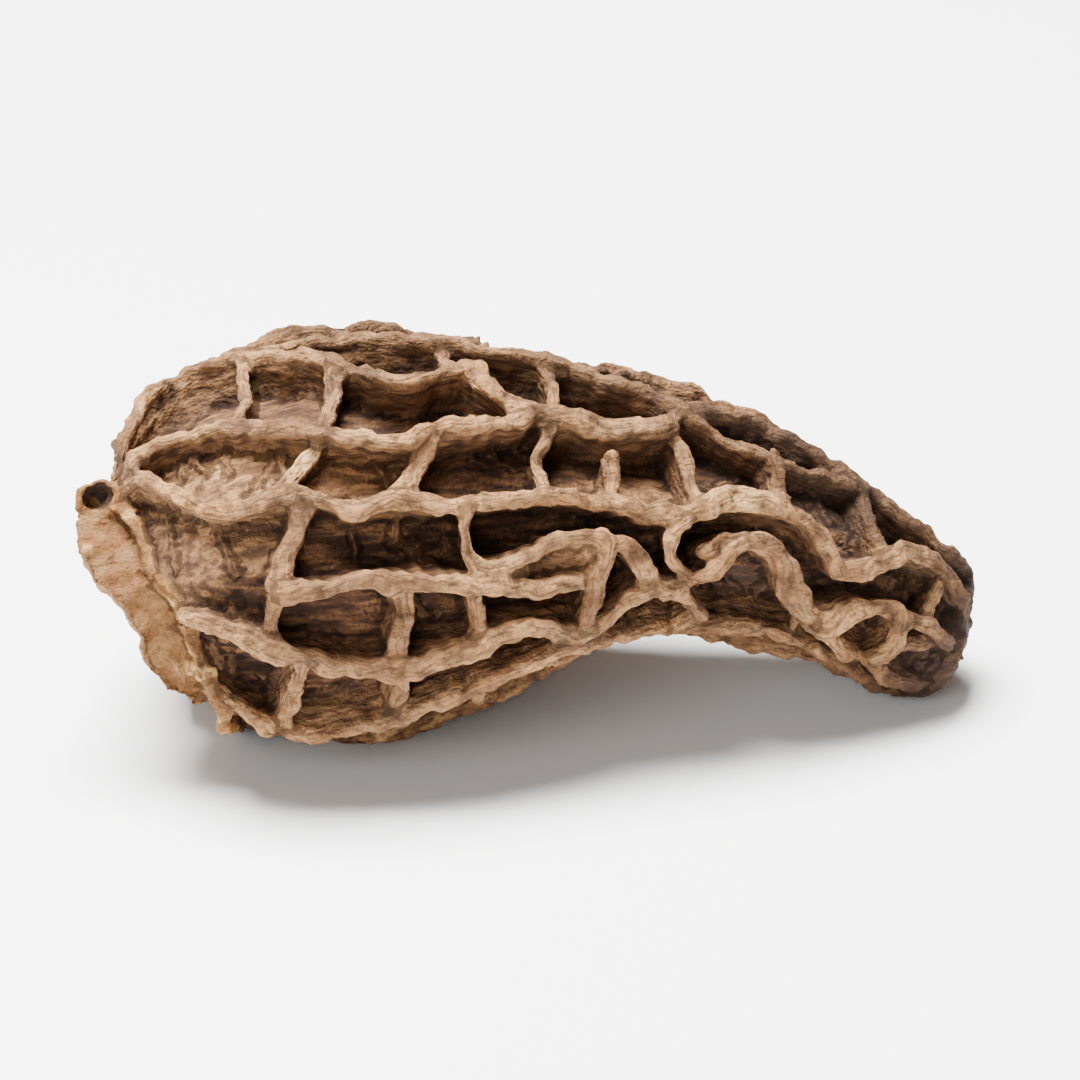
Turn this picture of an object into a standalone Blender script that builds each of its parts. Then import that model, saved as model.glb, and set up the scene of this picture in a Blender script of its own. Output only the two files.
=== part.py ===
"""Dried morel mushroom: one hollow cap with its raised net of ridges and a stub of the cut stem.

The cap lies on its side, bent like a bean, with the cut stem at -X and the shrivelled tip at +X.
It is drafted in millimetres and scaled to metres at the end. +Z is up.
A place on the cap is a station (0 at the margin, 1 at the tip) and an angle round the cap's axis
(0 towards -Y, 90 up, 180 towards +Y, 270 down).
"""

import math
import random

import bmesh
import bpy
import numpy as np
from mathutils import Matrix

MM = 0.001

# Each row is the middle of the cap there, then its half width and half height over the ridges, in
# millimetres, from the margin to the tip.
CAP_STATIONS = (
    (2.9, 0.0, 6.0, 6.8, 6.4),
    (5.9, 0.2, 7.2, 8.0, 7.6),
    (10.0, 0.3, 7.95, 8.7, 7.8),
    (15.0, 0.4, 8.35, 8.4, 6.65),
    (20.2, 0.2, 8.35, 7.0, 4.95),
    (25.0, -0.2, 7.0, 5.6, 4.35),
    (28.8, -0.3, 4.95, 4.4, 3.6),
    (31.2, 0.0, 2.95, 3.4, 3.2),
    (33.1, 0.2, 1.75, 2.4, 2.3),
)

# The dried flesh has sunk and swollen: share of the radius, waves round the cap, waves along it, phase.
DENTS = (
    (0.030, 2, 1.5, 0.4),
    (0.022, 3, -2.0, 1.9),
    (0.016, 5, 2.5, 4.2),
)

# Depth of the pits' floors below the crests, and of the flesh below the floors. Both end before the tip.
PIT_DEPTH = 2.0
PIT_DEPTH_SHARE = 0.42
FLESH = 1.0
FLOOR_END = 0.985
HOLLOW_END = 0.74
TIP_ROUNDING_START = 0.9
NOSE_LENGTH = 0.09
LEAST_RADIUS = 0.02

# Near the stem on the side that shows, the pits are shallower. The shoal's middle is a station and an angle.
SHOAL_RISE = 0.9
SHOAL_STATION = 0.11
SHOAL_ANGLE = 54.0
SHOAL_ALONG = 0.11
SHOAL_AROUND = 40.0

# The tip's knob, where the pits fill up.
KNOB_START = 0.79
KNOB_FULL = 0.91
KNOB_FILL = 0.85
KNOB_SUNK = 0.15
KNOB_BASE_SUNK = 1.2

# The stub of the stem: its cut is aslant and ragged, and its rim stands up and out on the shown side and
# is set back behind that.
STUB_LENGTH = 1.2
STUB_GROW = 0.15
STUB_WAIST_GROW = 0.05
STUB_SLANT = 0.4
STUB_SLANT_ANGLE = 80.0
STUB_RAGGED = 0.25
RIM_LIP = 1.0
RIM_LIP_ANGLE = 78.0
RIM_LIP_SPREAD = 24.0
RIM_REACH = 0.9
RIM_REACH_ANGLE = 64.0
RIM_REACH_SPREAD = 20.0
RIM_SETBACK = 0.9
RIM_SETBACK_ANGLE = 118.0
RIM_SETBACK_SPREAD = 38.0
MOUTH_FLARE = 0.4
MOUTH_LIP = 0.6
MOUTH_RUN = 0.25

# The margin's ring of ridge wanders along the cap and dips on the shown side. The cap's edge is set back,
# by a share of the cap's length, behind the crown.
MARGIN_STATION = 0.008
MARGIN_WANDER = 0.006
MARGIN_SUNK = 0.35
MARGIN_WAVE = 0.2
MARGIN_DIP = 1.3
MARGIN_DIP_ANGLE = 34.0
MARGIN_DIP_SPREAD = 34.0
EDGE_BACK = 0.035
EDGE_BACK_ANGLE = 115.0
EDGE_BACK_SPREAD = 34.0

# Widths of the ridges at crest and root, how far crests sag and drop, and how deep roots are sunk.
LONG_CREST = 0.86
LONG_ROOT = 0.70
CROSS_CREST = 0.66
CROSS_ROOT = 0.54
SHOULDER_DROP = 0.16
ROOT_SUNK = 0.45
START_DROP = 0.6
START_RUN = 0.045
CROSS_SAG = 0.45
CROSS_LEVEL = 0.16
REST_PRESS = 0.3

# The side away from view has ridges by rule.
HIDDEN_FIRST_ANGLE = 136.0
HIDDEN_LAST_ANGLE = 284.0
HIDDEN_RIDGES = 7
HIDDEN_SEED = 23
HIDDEN_POINTS = 14
HIDDEN_WAVE_DEG = (2.7, 9.0)
HIDDEN_RIPPLE_SHARE = 0.55
HIDDEN_CROSS_PITCH = 0.118
HIDDEN_SLANT = 0.045
HIDDEN_BOW = 0.022
RIDGE_END = 0.985

# Fineness of the surface.
BODY_AROUND = 28
BODY_ALONG = 18
HOLLOW_AROUND = 20
HOLLOW_ALONG = 9
KNOB_RINGS = 7
MARGIN_POINTS = 48
LAST_RING = 0.993
SHOWN_STEP = 1.9
HIDDEN_STEP = 2.6
CROSS_STEP = 1.8
TURN_STEP_DEG = 30.0
TRIANGLES = 11600
SHARP_DEG = 40.0

# Long ridges on the side that shows, each as (station, angle) points from the margin to the tip.
SHOWN_RIDGES = {
    "crown": ((0.0, 84), (0.05, 87), (0.08, 98), (0.12, 112), (0.16, 110), (0.20, 98), (0.25, 85),
              (0.30, 72), (0.335, 76), (0.36, 81), (0.385, 69), (0.45, 65), (0.505, 68), (0.525, 79)),
    "crown_back": ((0.165, 109), (0.21, 103), (0.26, 101), (0.30, 99), (0.34, 95), (0.385, 91), (0.43, 90),
                   (0.47, 87), (0.50, 85), (0.525, 80)),
    "crown_tip": ((0.52, 79), (0.58, 90), (0.65, 86), (0.72, 80), (0.80, 77), (0.88, 84), (0.985, 80)),
    "brow": ((0.0, 80), (0.04, 78), (0.08, 75), (0.13, 70), (0.16, 66), (0.19, 61), (0.24, 56), (0.29, 52),
             (0.32, 56), (0.36, 58), (0.40, 63), (0.42, 66)),
    "waist": ((0.0, 74), (0.045, 71), (0.065, 61), (0.085, 52), (0.11, 42), (0.15, 40), (0.19, 42),
              (0.235, 34), (0.27, 36), (0.33, 33), (0.41, 36), (0.465, 33), (0.50, 29), (0.54, 33),
              (0.565, 41), (0.615, 42), (0.64, 38), (0.66, 28), (0.675, 19)),
    "waist_tip": ((0.672, 20), (0.70, 26), (0.725, 40), (0.755, 53), (0.80, 57), (0.85, 46), (0.985, 42)),
    "middle": ((0.142, 16), (0.20, 14), (0.235, 15), (0.27, 12), (0.33, 8), (0.38, 4), (0.44, 2)),
    "middle_loop": ((0.335, 33), (0.33, 22), (0.335, 14), (0.355, 12), (0.385, 15), (0.41, 18), (0.445, 21),
                    (0.461, 16), (0.455, 4), (0.442, -19)),
    "middle_fall": ((0.461, 16), (0.475, 17), (0.492, 8), (0.513, -4), (0.54, -10), (0.562, -20),
                    (0.565, -32), (0.55, -42)),
    "tip_loop": ((0.53, 30), (0.52, 18), (0.53, 7), (0.545, -1), (0.56, 2), (0.572, 13), (0.587, 24),
                 (0.605, 25), (0.618, 19), (0.63, 9), (0.65, -3), (0.675, -12), (0.697, -9), (0.71, 2),
                 (0.735, 12), (0.755, 13), (0.775, 4), (0.782, -9), (0.77, -25)),
    "tip_front": ((0.757, 12), (0.81, 17), (0.86, 12), (0.985, 2)),
    "belly": ((0.0, 21), (0.03, 16), (0.06, 12), (0.09, 5), (0.12, -1), (0.16, -6), (0.21, -11),
              (0.265, -15), (0.31, -13), (0.36, -10), (0.40, -12), (0.435, -21), (0.46, -21),
              (0.48, -13), (0.49, -8), (0.512, -4)),
    "belly_tip": ((0.68, -12), (0.71, -22), (0.75, -29), (0.80, -31), (0.86, -27), (0.985, -34)),
    "keel": ((0.0, -5), (0.015, -14), (0.035, -28), (0.065, -40), (0.12, -43), (0.18, -40), (0.23, -36),
             (0.28, -31), (0.35, -25), (0.40, -24), (0.45, -28), (0.50, -37), (0.55, -42), (0.60, -35),
             (0.66, -32), (0.70, -38), (0.76, -52), (0.86, -54), (0.985, -70)),
}

# Cross ridges on the side that shows.
SHOWN_CROSSINGS = (
    ((0.253, 84), (0.239, 68), (0.224, 57)),
    ((0.178, 104), (0.167, 80), (0.152, 67)),
    ((0.345, 94), (0.350, 87), (0.355, 80)),
    ((0.430, 90), (0.433, 78), (0.430, 65)),
    ((0.224, 57), (0.208, 51), (0.185, 47), (0.150, 41)),
    ((0.315, 55), (0.300, 46), (0.277, 36)),
    ((0.428, 65), (0.412, 51), (0.411, 37)),
    ((0.469, 54), (0.471, 45), (0.466, 34)),
    ((0.520, 70), (0.533, 52), (0.542, 34)),
    ((0.197, 41), (0.180, 31), (0.160, 24), (0.144, 16)),
    ((0.262, 13), (0.270, 6), (0.262, -3), (0.250, -14)),
    ((0.330, 8), (0.335, -3), (0.330, -12)),
    ((0.144, 16), (0.125, 7), (0.117, 0)),
    ((0.157, -6), (0.140, -16), (0.105, -30), (0.078, -41)),
    ((0.255, -14), (0.258, -24), (0.240, -35)),
    ((0.525, 79), (0.580, 74), (0.630, 72), (0.688, 81)),
    ((0.600, 72), (0.612, 58), (0.610, 43)),
    ((0.690, 81), (0.700, 64), (0.724, 41)),
    ((0.546, 12), (0.561, 20), (0.585, 24)),
    ((0.370, 7), (0.395, 9), (0.425, 13), (0.452, 14)),
    ((0.665, -11), (0.668, -22), (0.675, -33)),
    ((0.800, 57), (0.806, 38), (0.805, 17)),
    ((0.785, -8), (0.820, -2), (0.850, 12)),
    ((0.770, -25), (0.778, -40), (0.775, -52)),
)

# The borders of the far side's net, where it meets the shown crown and keel ridges.
CROWN_BORDER = ((0.0, 86), (0.12, 112), (0.21, 103), (0.34, 95), (0.52, 82), (0.58, 90), (0.65, 86),
                (1.0, 80))
KEEL_BORDER = ((0.0, 354), (0.065, 320), (0.18, 320), (0.35, 335), (0.43, 335), (0.55, 318), (0.66, 328),
               (0.76, 308), (0.86, 306), (1.0, 290))


def smooth_through(points, share):
    """Catmull-Rom curve through the points, read at shares of its length in control spans."""
    points = np.asarray(points, float)
    last = len(points) - 1
    place = np.clip(np.atleast_1d(np.asarray(share, float)), 0.0, 1.0) * last
    span = np.minimum(place.astype(int), last - 1)
    f = (place - span)[:, None]
    here = points[span]
    ahead = points[span + 1]
    before = np.where((span > 0)[:, None], points[np.maximum(span - 1, 0)], 2 * here - ahead)
    beyond = np.where((span < last - 1)[:, None], points[np.minimum(span + 2, last)], 2 * ahead - here)
    return 0.5 * (
        2 * here
        + (ahead - before) * f
        + (2 * before - 5 * here + 4 * ahead - beyond) * f**2
        + (3 * here - before - 3 * ahead + beyond) * f**3
    )


def unit(vectors):
    return vectors / np.linalg.norm(vectors, axis=-1, keepdims=True)


def cap_section(station):
    """Middle, side and up directions, half width and half height of the cap at each station."""
    step = 1e-3
    row = smooth_through(CAP_STATIONS, station)
    ahead = smooth_through(CAP_STATIONS, station + step)
    behind = smooth_through(CAP_STATIONS, station - step)
    along = unit((ahead - behind)[:, :3])
    side = np.tile((0.0, -1.0, 0.0), (len(row), 1))
    side = unit(side - (side * along).sum(1)[:, None] * along)
    up = np.cross(side, along)
    up *= np.sign(up[:, 2])[:, None]
    return row[:, :3], side, up, row[:, 3], row[:, 4]


def rounded_end(station, start, end):
    """1 along the cap, falling to 0 at the end as a round nose does."""
    share = np.clip((station - start) / (end - start), 0.0, 1.0)
    return np.sqrt(1.0 - share**2)


def dented(station, turn):
    swell = np.ones_like(turn)
    for share, around, along, phase in DENTS:
        swell += share * np.sin(around * turn + along * math.tau * station + phase)
    return swell


def pit_depth(station, half_width, half_height):
    """How far the floors lie below the crests: less where the cap is narrow, little at the tip's knob."""
    fill = KNOB_FILL * np.clip((station - KNOB_START) / (KNOB_FULL - KNOB_START), 0.0, 1.0)
    return np.minimum(PIT_DEPTH, PIT_DEPTH_SHARE * np.minimum(half_width, half_height)) * (1.0 - fill)


def bump(angle, centre, spread):
    """1 at the centre angle, falling smoothly to 0 on both sides of it."""
    off = (angle - centre + 180.0) % 360.0 - 180.0
    return np.exp(-((off / spread) ** 2))


def cap_point(station, angle, layer, sunk=0.0):
    """Points of the cap's crest, floor or hollow surface, sunk further by some millimetres."""
    station, angle = np.broadcast_arrays(np.atleast_1d(np.asarray(station, float)), np.asarray(angle, float))
    turn = np.radians(angle)
    if layer == "crest":
        middle, side, up, a, b = cap_section(station)
        nose = rounded_end(station, TIP_ROUNDING_START, 1.0)
        inset = np.zeros_like(a)
    else:
        end = FLOOR_END if layer == "floor" else HOLLOW_END
        station = station * end
        middle, side, up, a, b = cap_section(station)
        nose = rounded_end(station, end - NOSE_LENGTH, end)
        inset = pit_depth(station, a, b) + (0.0 if layer == "floor" else FLESH)
        if layer == "floor":
            inset -= SHOAL_RISE * np.exp(-(((station - SHOAL_STATION) / SHOAL_ALONG) ** 2)) * bump(
                angle, SHOAL_ANGLE, SHOAL_AROUND
            )
    swell = dented(station, turn)
    wide = ((a * swell - inset - sunk) * nose).clip(min=LEAST_RADIUS)
    high = ((b * swell - inset - sunk) * nose).clip(min=LEAST_RADIUS)
    return middle + (wide * np.cos(turn))[:, None] * side + (high * np.sin(turn))[:, None] * up


def outward(station, angle):
    """Directions away from the cap's axis, or from its last full section near the tip."""
    middle = cap_section(np.minimum(station, KNOB_FULL))[0]
    return unit(cap_point(station, angle, "crest") - middle)


def loft(name, rings, collection, ring_closed=False):
    """A closed solid through rings of points, capped at both ends or joined end to end."""
    count = len(rings[0])
    faces = []
    spans = len(rings) if ring_closed else len(rings) - 1
    for i in range(spans):
        here = i * count
        ahead = (i + 1) % len(rings) * count
        for j in range(count):
            k = (j + 1) % count
            faces.append((here + j, here + k, ahead + k, ahead + j))
    if not ring_closed:
        faces.append(tuple(range(count - 1, -1, -1)))
        faces.append(tuple(range((len(rings) - 1) * count, len(rings) * count)))
    mesh = bpy.data.meshes.new(name)
    mesh.from_pydata([tuple(p) for ring in rings for p in ring], [], faces)
    mesh.validate()
    solid = bpy.data.objects.new(name, mesh)
    collection.objects.link(solid)
    face_outwards(solid)
    return solid


def face_outwards(solid):
    """Turns a loft whose rings run the other way round right side out."""
    mesh = solid.data
    mesh.calc_loop_triangles()
    corners = np.array([[mesh.vertices[v].co for v in t.vertices] for t in mesh.loop_triangles])
    if np.linalg.det(corners).sum() < 0:
        mesh.flip_normals()


def axis_ring(station, layer, around, back=0.0, uneven=0.0, ragged=0.0, grow=0.0, lip=0.0):
    """A ring of the body round the cap's axis, slid back past the margin. uneven is the cut's share in it."""
    angle = np.linspace(0.0, 360.0, around, endpoint=False)
    grow = grow + lip * bump(angle, RIM_LIP_ANGLE, RIM_LIP_SPREAD)
    ring = cap_point(np.full(around, station), angle, layer, sunk=-grow)
    ends = smooth_through(CAP_STATIONS, [0.0, 0.02])[:, :3]
    stemward = unit(ends[0] - ends[1])
    turn = np.radians(angle)
    tear = ragged * (np.sin(3 * turn + 1.0) + 0.6 * np.sin(7 * turn + 2.2))
    cut = STUB_SLANT * np.cos(turn - math.radians(STUB_SLANT_ANGLE))
    cut += RIM_REACH * bump(angle, RIM_REACH_ANGLE, RIM_REACH_SPREAD)
    cut -= RIM_SETBACK * bump(angle, RIM_SETBACK_ANGLE, RIM_SETBACK_SPREAD)
    return ring + stemward * (back + uneven * cut + tear)[:, None]


def body(collection):
    """The cap's flesh at the floors of the pits, with the stem's stub."""
    half = 0.5 * STUB_LENGTH
    rings = [
        axis_ring(0.0, "floor", BODY_AROUND, STUB_LENGTH, 1.0, STUB_RAGGED, STUB_GROW, RIM_LIP),
        axis_ring(0.0, "floor", BODY_AROUND, half, 0.5, 0.0, STUB_WAIST_GROW, RIM_LIP),
    ]
    for station in np.linspace(0.0, LAST_RING, BODY_ALONG) ** 0.9:
        rings.append(axis_ring(station, "floor", BODY_AROUND))
    return loft("morel", rings, collection)


def hollow(collection):
    """The space inside the cap, which comes out at the cut stem."""
    rings = [axis_ring(0.0, "hollow", HOLLOW_AROUND, back=3 * STUB_LENGTH, grow=MOUTH_FLARE, lip=MOUTH_LIP)]
    for station in np.linspace(0.0, LAST_RING, HOLLOW_ALONG) ** 0.85:
        near = max(0.0, 1.0 - station / MOUTH_RUN)
        ring = axis_ring(station, "hollow", HOLLOW_AROUND, grow=MOUTH_FLARE * near, lip=MOUTH_LIP * near)
        rings.append(ring)
    return loft("hollow", rings, collection)


def tip_knob(collection):
    """The shrivelled tip, where the net has run together into a lump."""
    rings = []
    angle = np.linspace(0.0, 360.0, HOLLOW_AROUND, endpoint=False)
    for share in np.linspace(0.0, 1.0, KNOB_RINGS):
        station = np.full(HOLLOW_AROUND, KNOB_FULL + share * (LAST_RING - KNOB_FULL))
        sunk = KNOB_SUNK + (KNOB_BASE_SUNK - KNOB_SUNK) * (1.0 - share) ** 3
        rings.append(cap_point(station, angle, "crest", sunk=sunk))
    return loft("knob", rings, collection)


def stepped(points, step):
    """(station, angle) places along the smooth line through the points, closer together in its bends."""
    places = smooth_through(points, np.linspace(0.0, 1.0, 40 * len(points)))
    moves = np.diff(cap_point(places[:, 0], places[:, 1], "crest"), axis=0)
    heading = unit(moves)
    turns = np.degrees(np.arccos(np.clip((heading[1:] * heading[:-1]).sum(1), -1.0, 1.0)))
    steps = np.linalg.norm(moves, axis=1) / step + np.append(turns, 0.0) / TURN_STEP_DEG
    run = np.concatenate([[0.0], np.cumsum(steps)])
    marks = np.linspace(0.0, run[-1], max(3, round(run[-1]) + 1))
    return np.stack([np.interp(marks, run, places[:, i]) for i in range(2)], axis=1)


def straightened(places, passes):
    """The root of a ridge runs straighter than its crest, which has buckled in drying."""
    root = places.copy()
    for _ in range(passes):
        root[1:-1] = 0.5 * root[1:-1] + 0.25 * (root[:-2] + root[2:])
    return root


def ridge(name, places, crest_width, root_width, level, collection, ring_closed=False):
    """A blade of flesh standing on the body. level is how far each crest point is sunk."""
    station, angle = places.T
    root_station, root_angle = (places if ring_closed else straightened(places, 2)).T
    crest = cap_point(station, angle, "crest", sunk=level)
    up = outward(station, angle)
    crest_run = np.roll(crest, -1, 0) - np.roll(crest, 1, 0) if ring_closed else np.gradient(crest, axis=0)
    across = unit(np.cross(crest_run, up))
    root = cap_point(root_station, root_angle, "floor", sunk=ROOT_SUNK)
    root_run = np.roll(root, -1, 0) - np.roll(root, 1, 0) if ring_closed else np.gradient(root, axis=0)
    root_across = unit(np.cross(root_run, up))
    shoulder = crest - up * SHOULDER_DROP
    rings = np.stack(
        [
            crest,
            shoulder + across * crest_width / 2,
            root + root_across * root_width / 2,
            root - root_across * root_width / 2,
            shoulder - across * crest_width / 2,
        ],
        axis=1,
    )
    return loft(name, rings, collection, ring_closed)


def set_back(angle):
    """How far along the cap its edge starts: further behind the crown."""
    return EDGE_BACK * bump(angle, EDGE_BACK_ANGLE, EDGE_BACK_SPREAD)


def start_drop(places):
    """How far a long ridge's crest points are sunk near the cap's edge."""
    station, angle = places.T
    return START_DROP * np.clip(1.0 - (station - set_back(angle)) / START_RUN, 0.0, 2.0)


def long_ridge(name, points, step, collection):
    """A high ridge, which drops to the margin's level where it starts there."""
    places = stepped(points, step)
    ridge(name, places, LONG_CREST, LONG_ROOT, start_drop(places), collection)


def cross_ridge(name, points, collection):
    """A lower ridge between two long ones, sagging in the middle."""
    places = stepped(points, CROSS_STEP)
    share = np.linspace(0.0, 1.0, len(places))
    level = CROSS_LEVEL + CROSS_SAG * np.sin(math.pi * share)
    ridge(name, places, CROSS_CREST, CROSS_ROOT, level, collection)


def margin_ridge(collection):
    """The ring of ridge where the cap meets the stem."""
    angle = np.linspace(0.0, 360.0, MARGIN_POINTS, endpoint=False)
    station = MARGIN_STATION + MARGIN_WANDER * np.sin(np.radians(3 * angle + 40)) + set_back(angle)
    places = np.stack([station, angle], axis=1)
    level = MARGIN_SUNK + MARGIN_WAVE * np.sin(np.radians(5 * angle))
    level += MARGIN_DIP * bump(angle, MARGIN_DIP_ANGLE, MARGIN_DIP_SPREAD)
    ridge("margin", places, LONG_CREST, LONG_ROOT, level, collection, ring_closed=True)


def hidden_ridges(draw):
    """Angles of the far side's long ridges, evenly spaced and buckled, at even stations to the tip."""
    station = np.linspace(0.0, RIDGE_END, HIDDEN_POINTS)
    buckle = np.interp(station, (0.0, 1.0), HIDDEN_WAVE_DEG)
    lines = []
    for middle in np.linspace(HIDDEN_FIRST_ANGLE, HIDDEN_LAST_ANGLE, HIDDEN_RIDGES):
        phase = draw.uniform(0.0, math.tau)
        waves = draw.uniform(2.2, 3.4)
        ripples = draw.uniform(5.0, 7.0)
        wave = np.sin(math.tau * waves * station + phase)
        ripple = HIDDEN_RIPPLE_SHARE * np.sin(math.tau * ripples * station + 2.0 * phase)
        lines.append(np.stack([station, middle + buckle * (wave + ripple)], axis=1))
    return lines


def add_hidden_net(collection):
    """The far side's long ridges, and cross ridges between neighbours at uneven pitches."""
    draw = random.Random(HIDDEN_SEED)
    lines = hidden_ridges(draw)
    for i, line in enumerate(lines):
        long_ridge(f"far_{i}", line, HIDDEN_STEP, collection)
    borders = [np.array(CROWN_BORDER), *lines, np.array(KEEL_BORDER)]
    for i, (low, high) in enumerate(zip(borders[:-1], borders[1:])):
        station = draw.uniform(0.07, 0.14)
        while station < KNOB_FULL:
            slant = draw.uniform(-HIDDEN_SLANT, HIDDEN_SLANT)
            start = (station + slant, np.interp(station + slant, *low.T))
            end = (station - slant, np.interp(station - slant, *high.T))
            middle = (station + draw.uniform(-HIDDEN_BOW, HIDDEN_BOW), 0.5 * (start[1] + end[1]))
            cross_ridge(f"far_crossing_{i}", (start, middle, end), collection)
            station += HIDDEN_CROSS_PITCH * draw.uniform(0.72, 1.3)


def make_permanent(target):
    """Applies the object's modifiers."""
    graph = bpy.context.evaluated_depsgraph_get()
    result = bpy.data.meshes.new_from_object(target.evaluated_get(graph))
    target.modifiers.clear()
    target.data = result


def join_or_cut(target, operation, solids, solver):
    """One Boolean of the target with every solid of a collection, which is emptied afterwards."""
    modifier = target.modifiers.new(operation.lower(), "BOOLEAN")
    modifier.operation = operation
    modifier.solver = solver
    modifier.operand_type = "COLLECTION"
    modifier.collection = solids
    make_permanent(target)
    for solid in list(solids.objects):
        bpy.data.objects.remove(solid)


def split_faces(morel):
    """Makes every face of more than three corners a fan of triangles."""
    mesh = bmesh.new()
    mesh.from_mesh(morel.data)
    bmesh.ops.connect_verts_concave(mesh, faces=mesh.faces)
    bmesh.ops.poke(mesh, faces=[face for face in mesh.faces if len(face.verts) > 3])
    mesh.to_mesh(morel.data)
    mesh.free()


def thin_out(morel):
    """Merges the smallest triangles away, down to the wanted number."""
    modifier = morel.modifiers.new("thin_out", "DECIMATE")
    modifier.ratio = TRIANGLES / len(morel.data.polygons)
    make_permanent(morel)


def drop_scraps(morel):
    """Keeps the one big closed piece of the surface, without loose bits or flaps of a single face."""
    mesh = bmesh.new()
    mesh.from_mesh(morel.data)
    flaps = [face for face in mesh.faces if sum(edge.is_boundary for edge in face.edges) > 1]
    bmesh.ops.delete(mesh, geom=flaps, context="FACES")
    left = set(mesh.faces)
    pieces = []
    while left:
        piece = [left.pop()]
        for face in piece:
            for edge in face.edges:
                for beside in edge.link_faces:
                    if beside in left:
                        left.remove(beside)
                        piece.append(beside)
        pieces.append(piece)
    pieces.sort(key=len)
    scraps = [face for piece in pieces[:-1] for face in piece]
    bmesh.ops.delete(mesh, geom=scraps, context="FACES")
    mesh.to_mesh(morel.data)
    mesh.free()


def lowest_and_highest(morel):
    places = np.array([v.co for v in morel.data.vertices])
    return places.min(0), places.max(0)


def ground_block(morel, collection):
    """What lies below the level at which the lowest crests are pressed flat."""
    lowest, highest = lowest_and_highest(morel)
    size = 2.0 * max(highest - lowest)
    centre = 0.5 * (lowest + highest)
    centre[2] = lowest[2] + REST_PRESS - 0.5 * size
    mesh = bmesh.new()
    bmesh.ops.create_cube(mesh, size=size, matrix=Matrix.Translation(centre))
    block = bpy.data.meshes.new("ground")
    mesh.to_mesh(block)
    mesh.free()
    collection.objects.link(bpy.data.objects.new("ground", block))


def place_and_scale(morel):
    """Puts the origin under the middle of the morel, at its lowest level, and scales to metres."""
    lowest, highest = lowest_and_highest(morel)
    origin = (0.5 * (lowest[0] + highest[0]), 0.5 * (lowest[1] + highest[1]), lowest[2])
    for vertex in morel.data.vertices:
        vertex.co = (np.array(vertex.co) - origin) * MM
    morel.data.update()


def dried_flesh():
    material = bpy.data.materials.new("dried_flesh")
    material.use_nodes = True
    shader = material.node_tree.nodes["Principled BSDF"]
    shader.inputs["Base Color"].default_value = (0.15, 0.09, 0.06, 1.0)
    shader.inputs["Roughness"].default_value = 0.75
    shader.inputs["Metallic"].default_value = 0.0
    return material


def main():
    for old in list(bpy.data.objects):
        bpy.data.objects.remove(old)
    scene = bpy.context.scene.collection
    shown = bpy.data.collections.new("dried_morel")
    cutters = bpy.data.collections.new("net_and_hollow")
    scene.children.link(shown)
    scene.children.link(cutters)

    morel = body(shown)
    for name, points in SHOWN_RIDGES.items():
        long_ridge(name, points, SHOWN_STEP, cutters)
    for i, points in enumerate(SHOWN_CROSSINGS):
        cross_ridge(f"crossing_{i}", points, cutters)
    add_hidden_net(cutters)
    margin_ridge(cutters)
    tip_knob(cutters)
    # The net's ridges graze each other, and there EXACT leaves doubled edges.
    join_or_cut(morel, "UNION", cutters, "MANIFOLD")
    hollow(cutters)
    join_or_cut(morel, "DIFFERENCE", cutters, "MANIFOLD")
    split_faces(morel)
    thin_out(morel)
    drop_scraps(morel)
    ground_block(morel, cutters)
    join_or_cut(morel, "DIFFERENCE", cutters, "EXACT")
    split_faces(morel)

    place_and_scale(morel)
    morel.data.materials.clear()
    morel.data.materials.append(dried_flesh())
    morel.data.shade_smooth()
    morel.data.set_sharp_from_angle(angle=math.radians(SHARP_DEG))


main()
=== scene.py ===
"""Dried morel mushroom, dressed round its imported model.

The flesh is drafted in millimetres on the model's own layout and moved into its frame, in metres, at the
end. A place on the cap is a station (0 at the margin, 1 at the tip) and an angle round the cap's axis
(0 towards -Y, 90 up, 180 towards +Y, 270 down).
"""

import math
import random

import bmesh
import bpy
import numpy as np
from mathutils import Matrix, Vector


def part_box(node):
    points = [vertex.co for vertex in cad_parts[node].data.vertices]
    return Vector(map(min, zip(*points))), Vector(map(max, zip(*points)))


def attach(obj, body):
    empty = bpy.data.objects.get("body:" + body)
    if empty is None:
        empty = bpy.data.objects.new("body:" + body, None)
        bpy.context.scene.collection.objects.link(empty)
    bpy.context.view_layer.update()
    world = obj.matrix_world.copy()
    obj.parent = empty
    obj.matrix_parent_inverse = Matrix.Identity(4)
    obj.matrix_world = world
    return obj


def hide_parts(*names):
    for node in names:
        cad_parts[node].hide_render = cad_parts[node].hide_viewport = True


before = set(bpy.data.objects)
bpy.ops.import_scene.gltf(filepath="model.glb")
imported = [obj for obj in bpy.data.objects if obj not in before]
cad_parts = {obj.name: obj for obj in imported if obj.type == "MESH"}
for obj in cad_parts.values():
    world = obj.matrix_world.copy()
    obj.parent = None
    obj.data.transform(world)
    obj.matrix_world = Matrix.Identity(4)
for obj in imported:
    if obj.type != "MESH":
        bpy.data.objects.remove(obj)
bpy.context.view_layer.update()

MM = 0.001

# Where the finished model's origin lies in the draft, in millimetres.
DRAFT_ORIGIN = (16.451, 0.424, 0.274)

# Each row is the middle of the cap there, then its half width and half height over the ridges, in
# millimetres, from the margin to the tip.
CAP_STATIONS = (
    (2.9, 0.0, 6.0, 6.8, 6.4),
    (5.9, 0.2, 7.2, 8.0, 7.6),
    (10.0, 0.3, 7.95, 8.7, 7.8),
    (15.0, 0.4, 8.35, 8.4, 6.65),
    (20.2, 0.2, 8.35, 7.0, 4.95),
    (25.0, -0.2, 7.0, 5.6, 4.35),
    (28.8, -0.3, 4.95, 4.4, 3.6),
    (31.2, 0.0, 2.95, 3.4, 3.2),
    (33.1, 0.2, 1.75, 2.4, 2.3),
)

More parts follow.
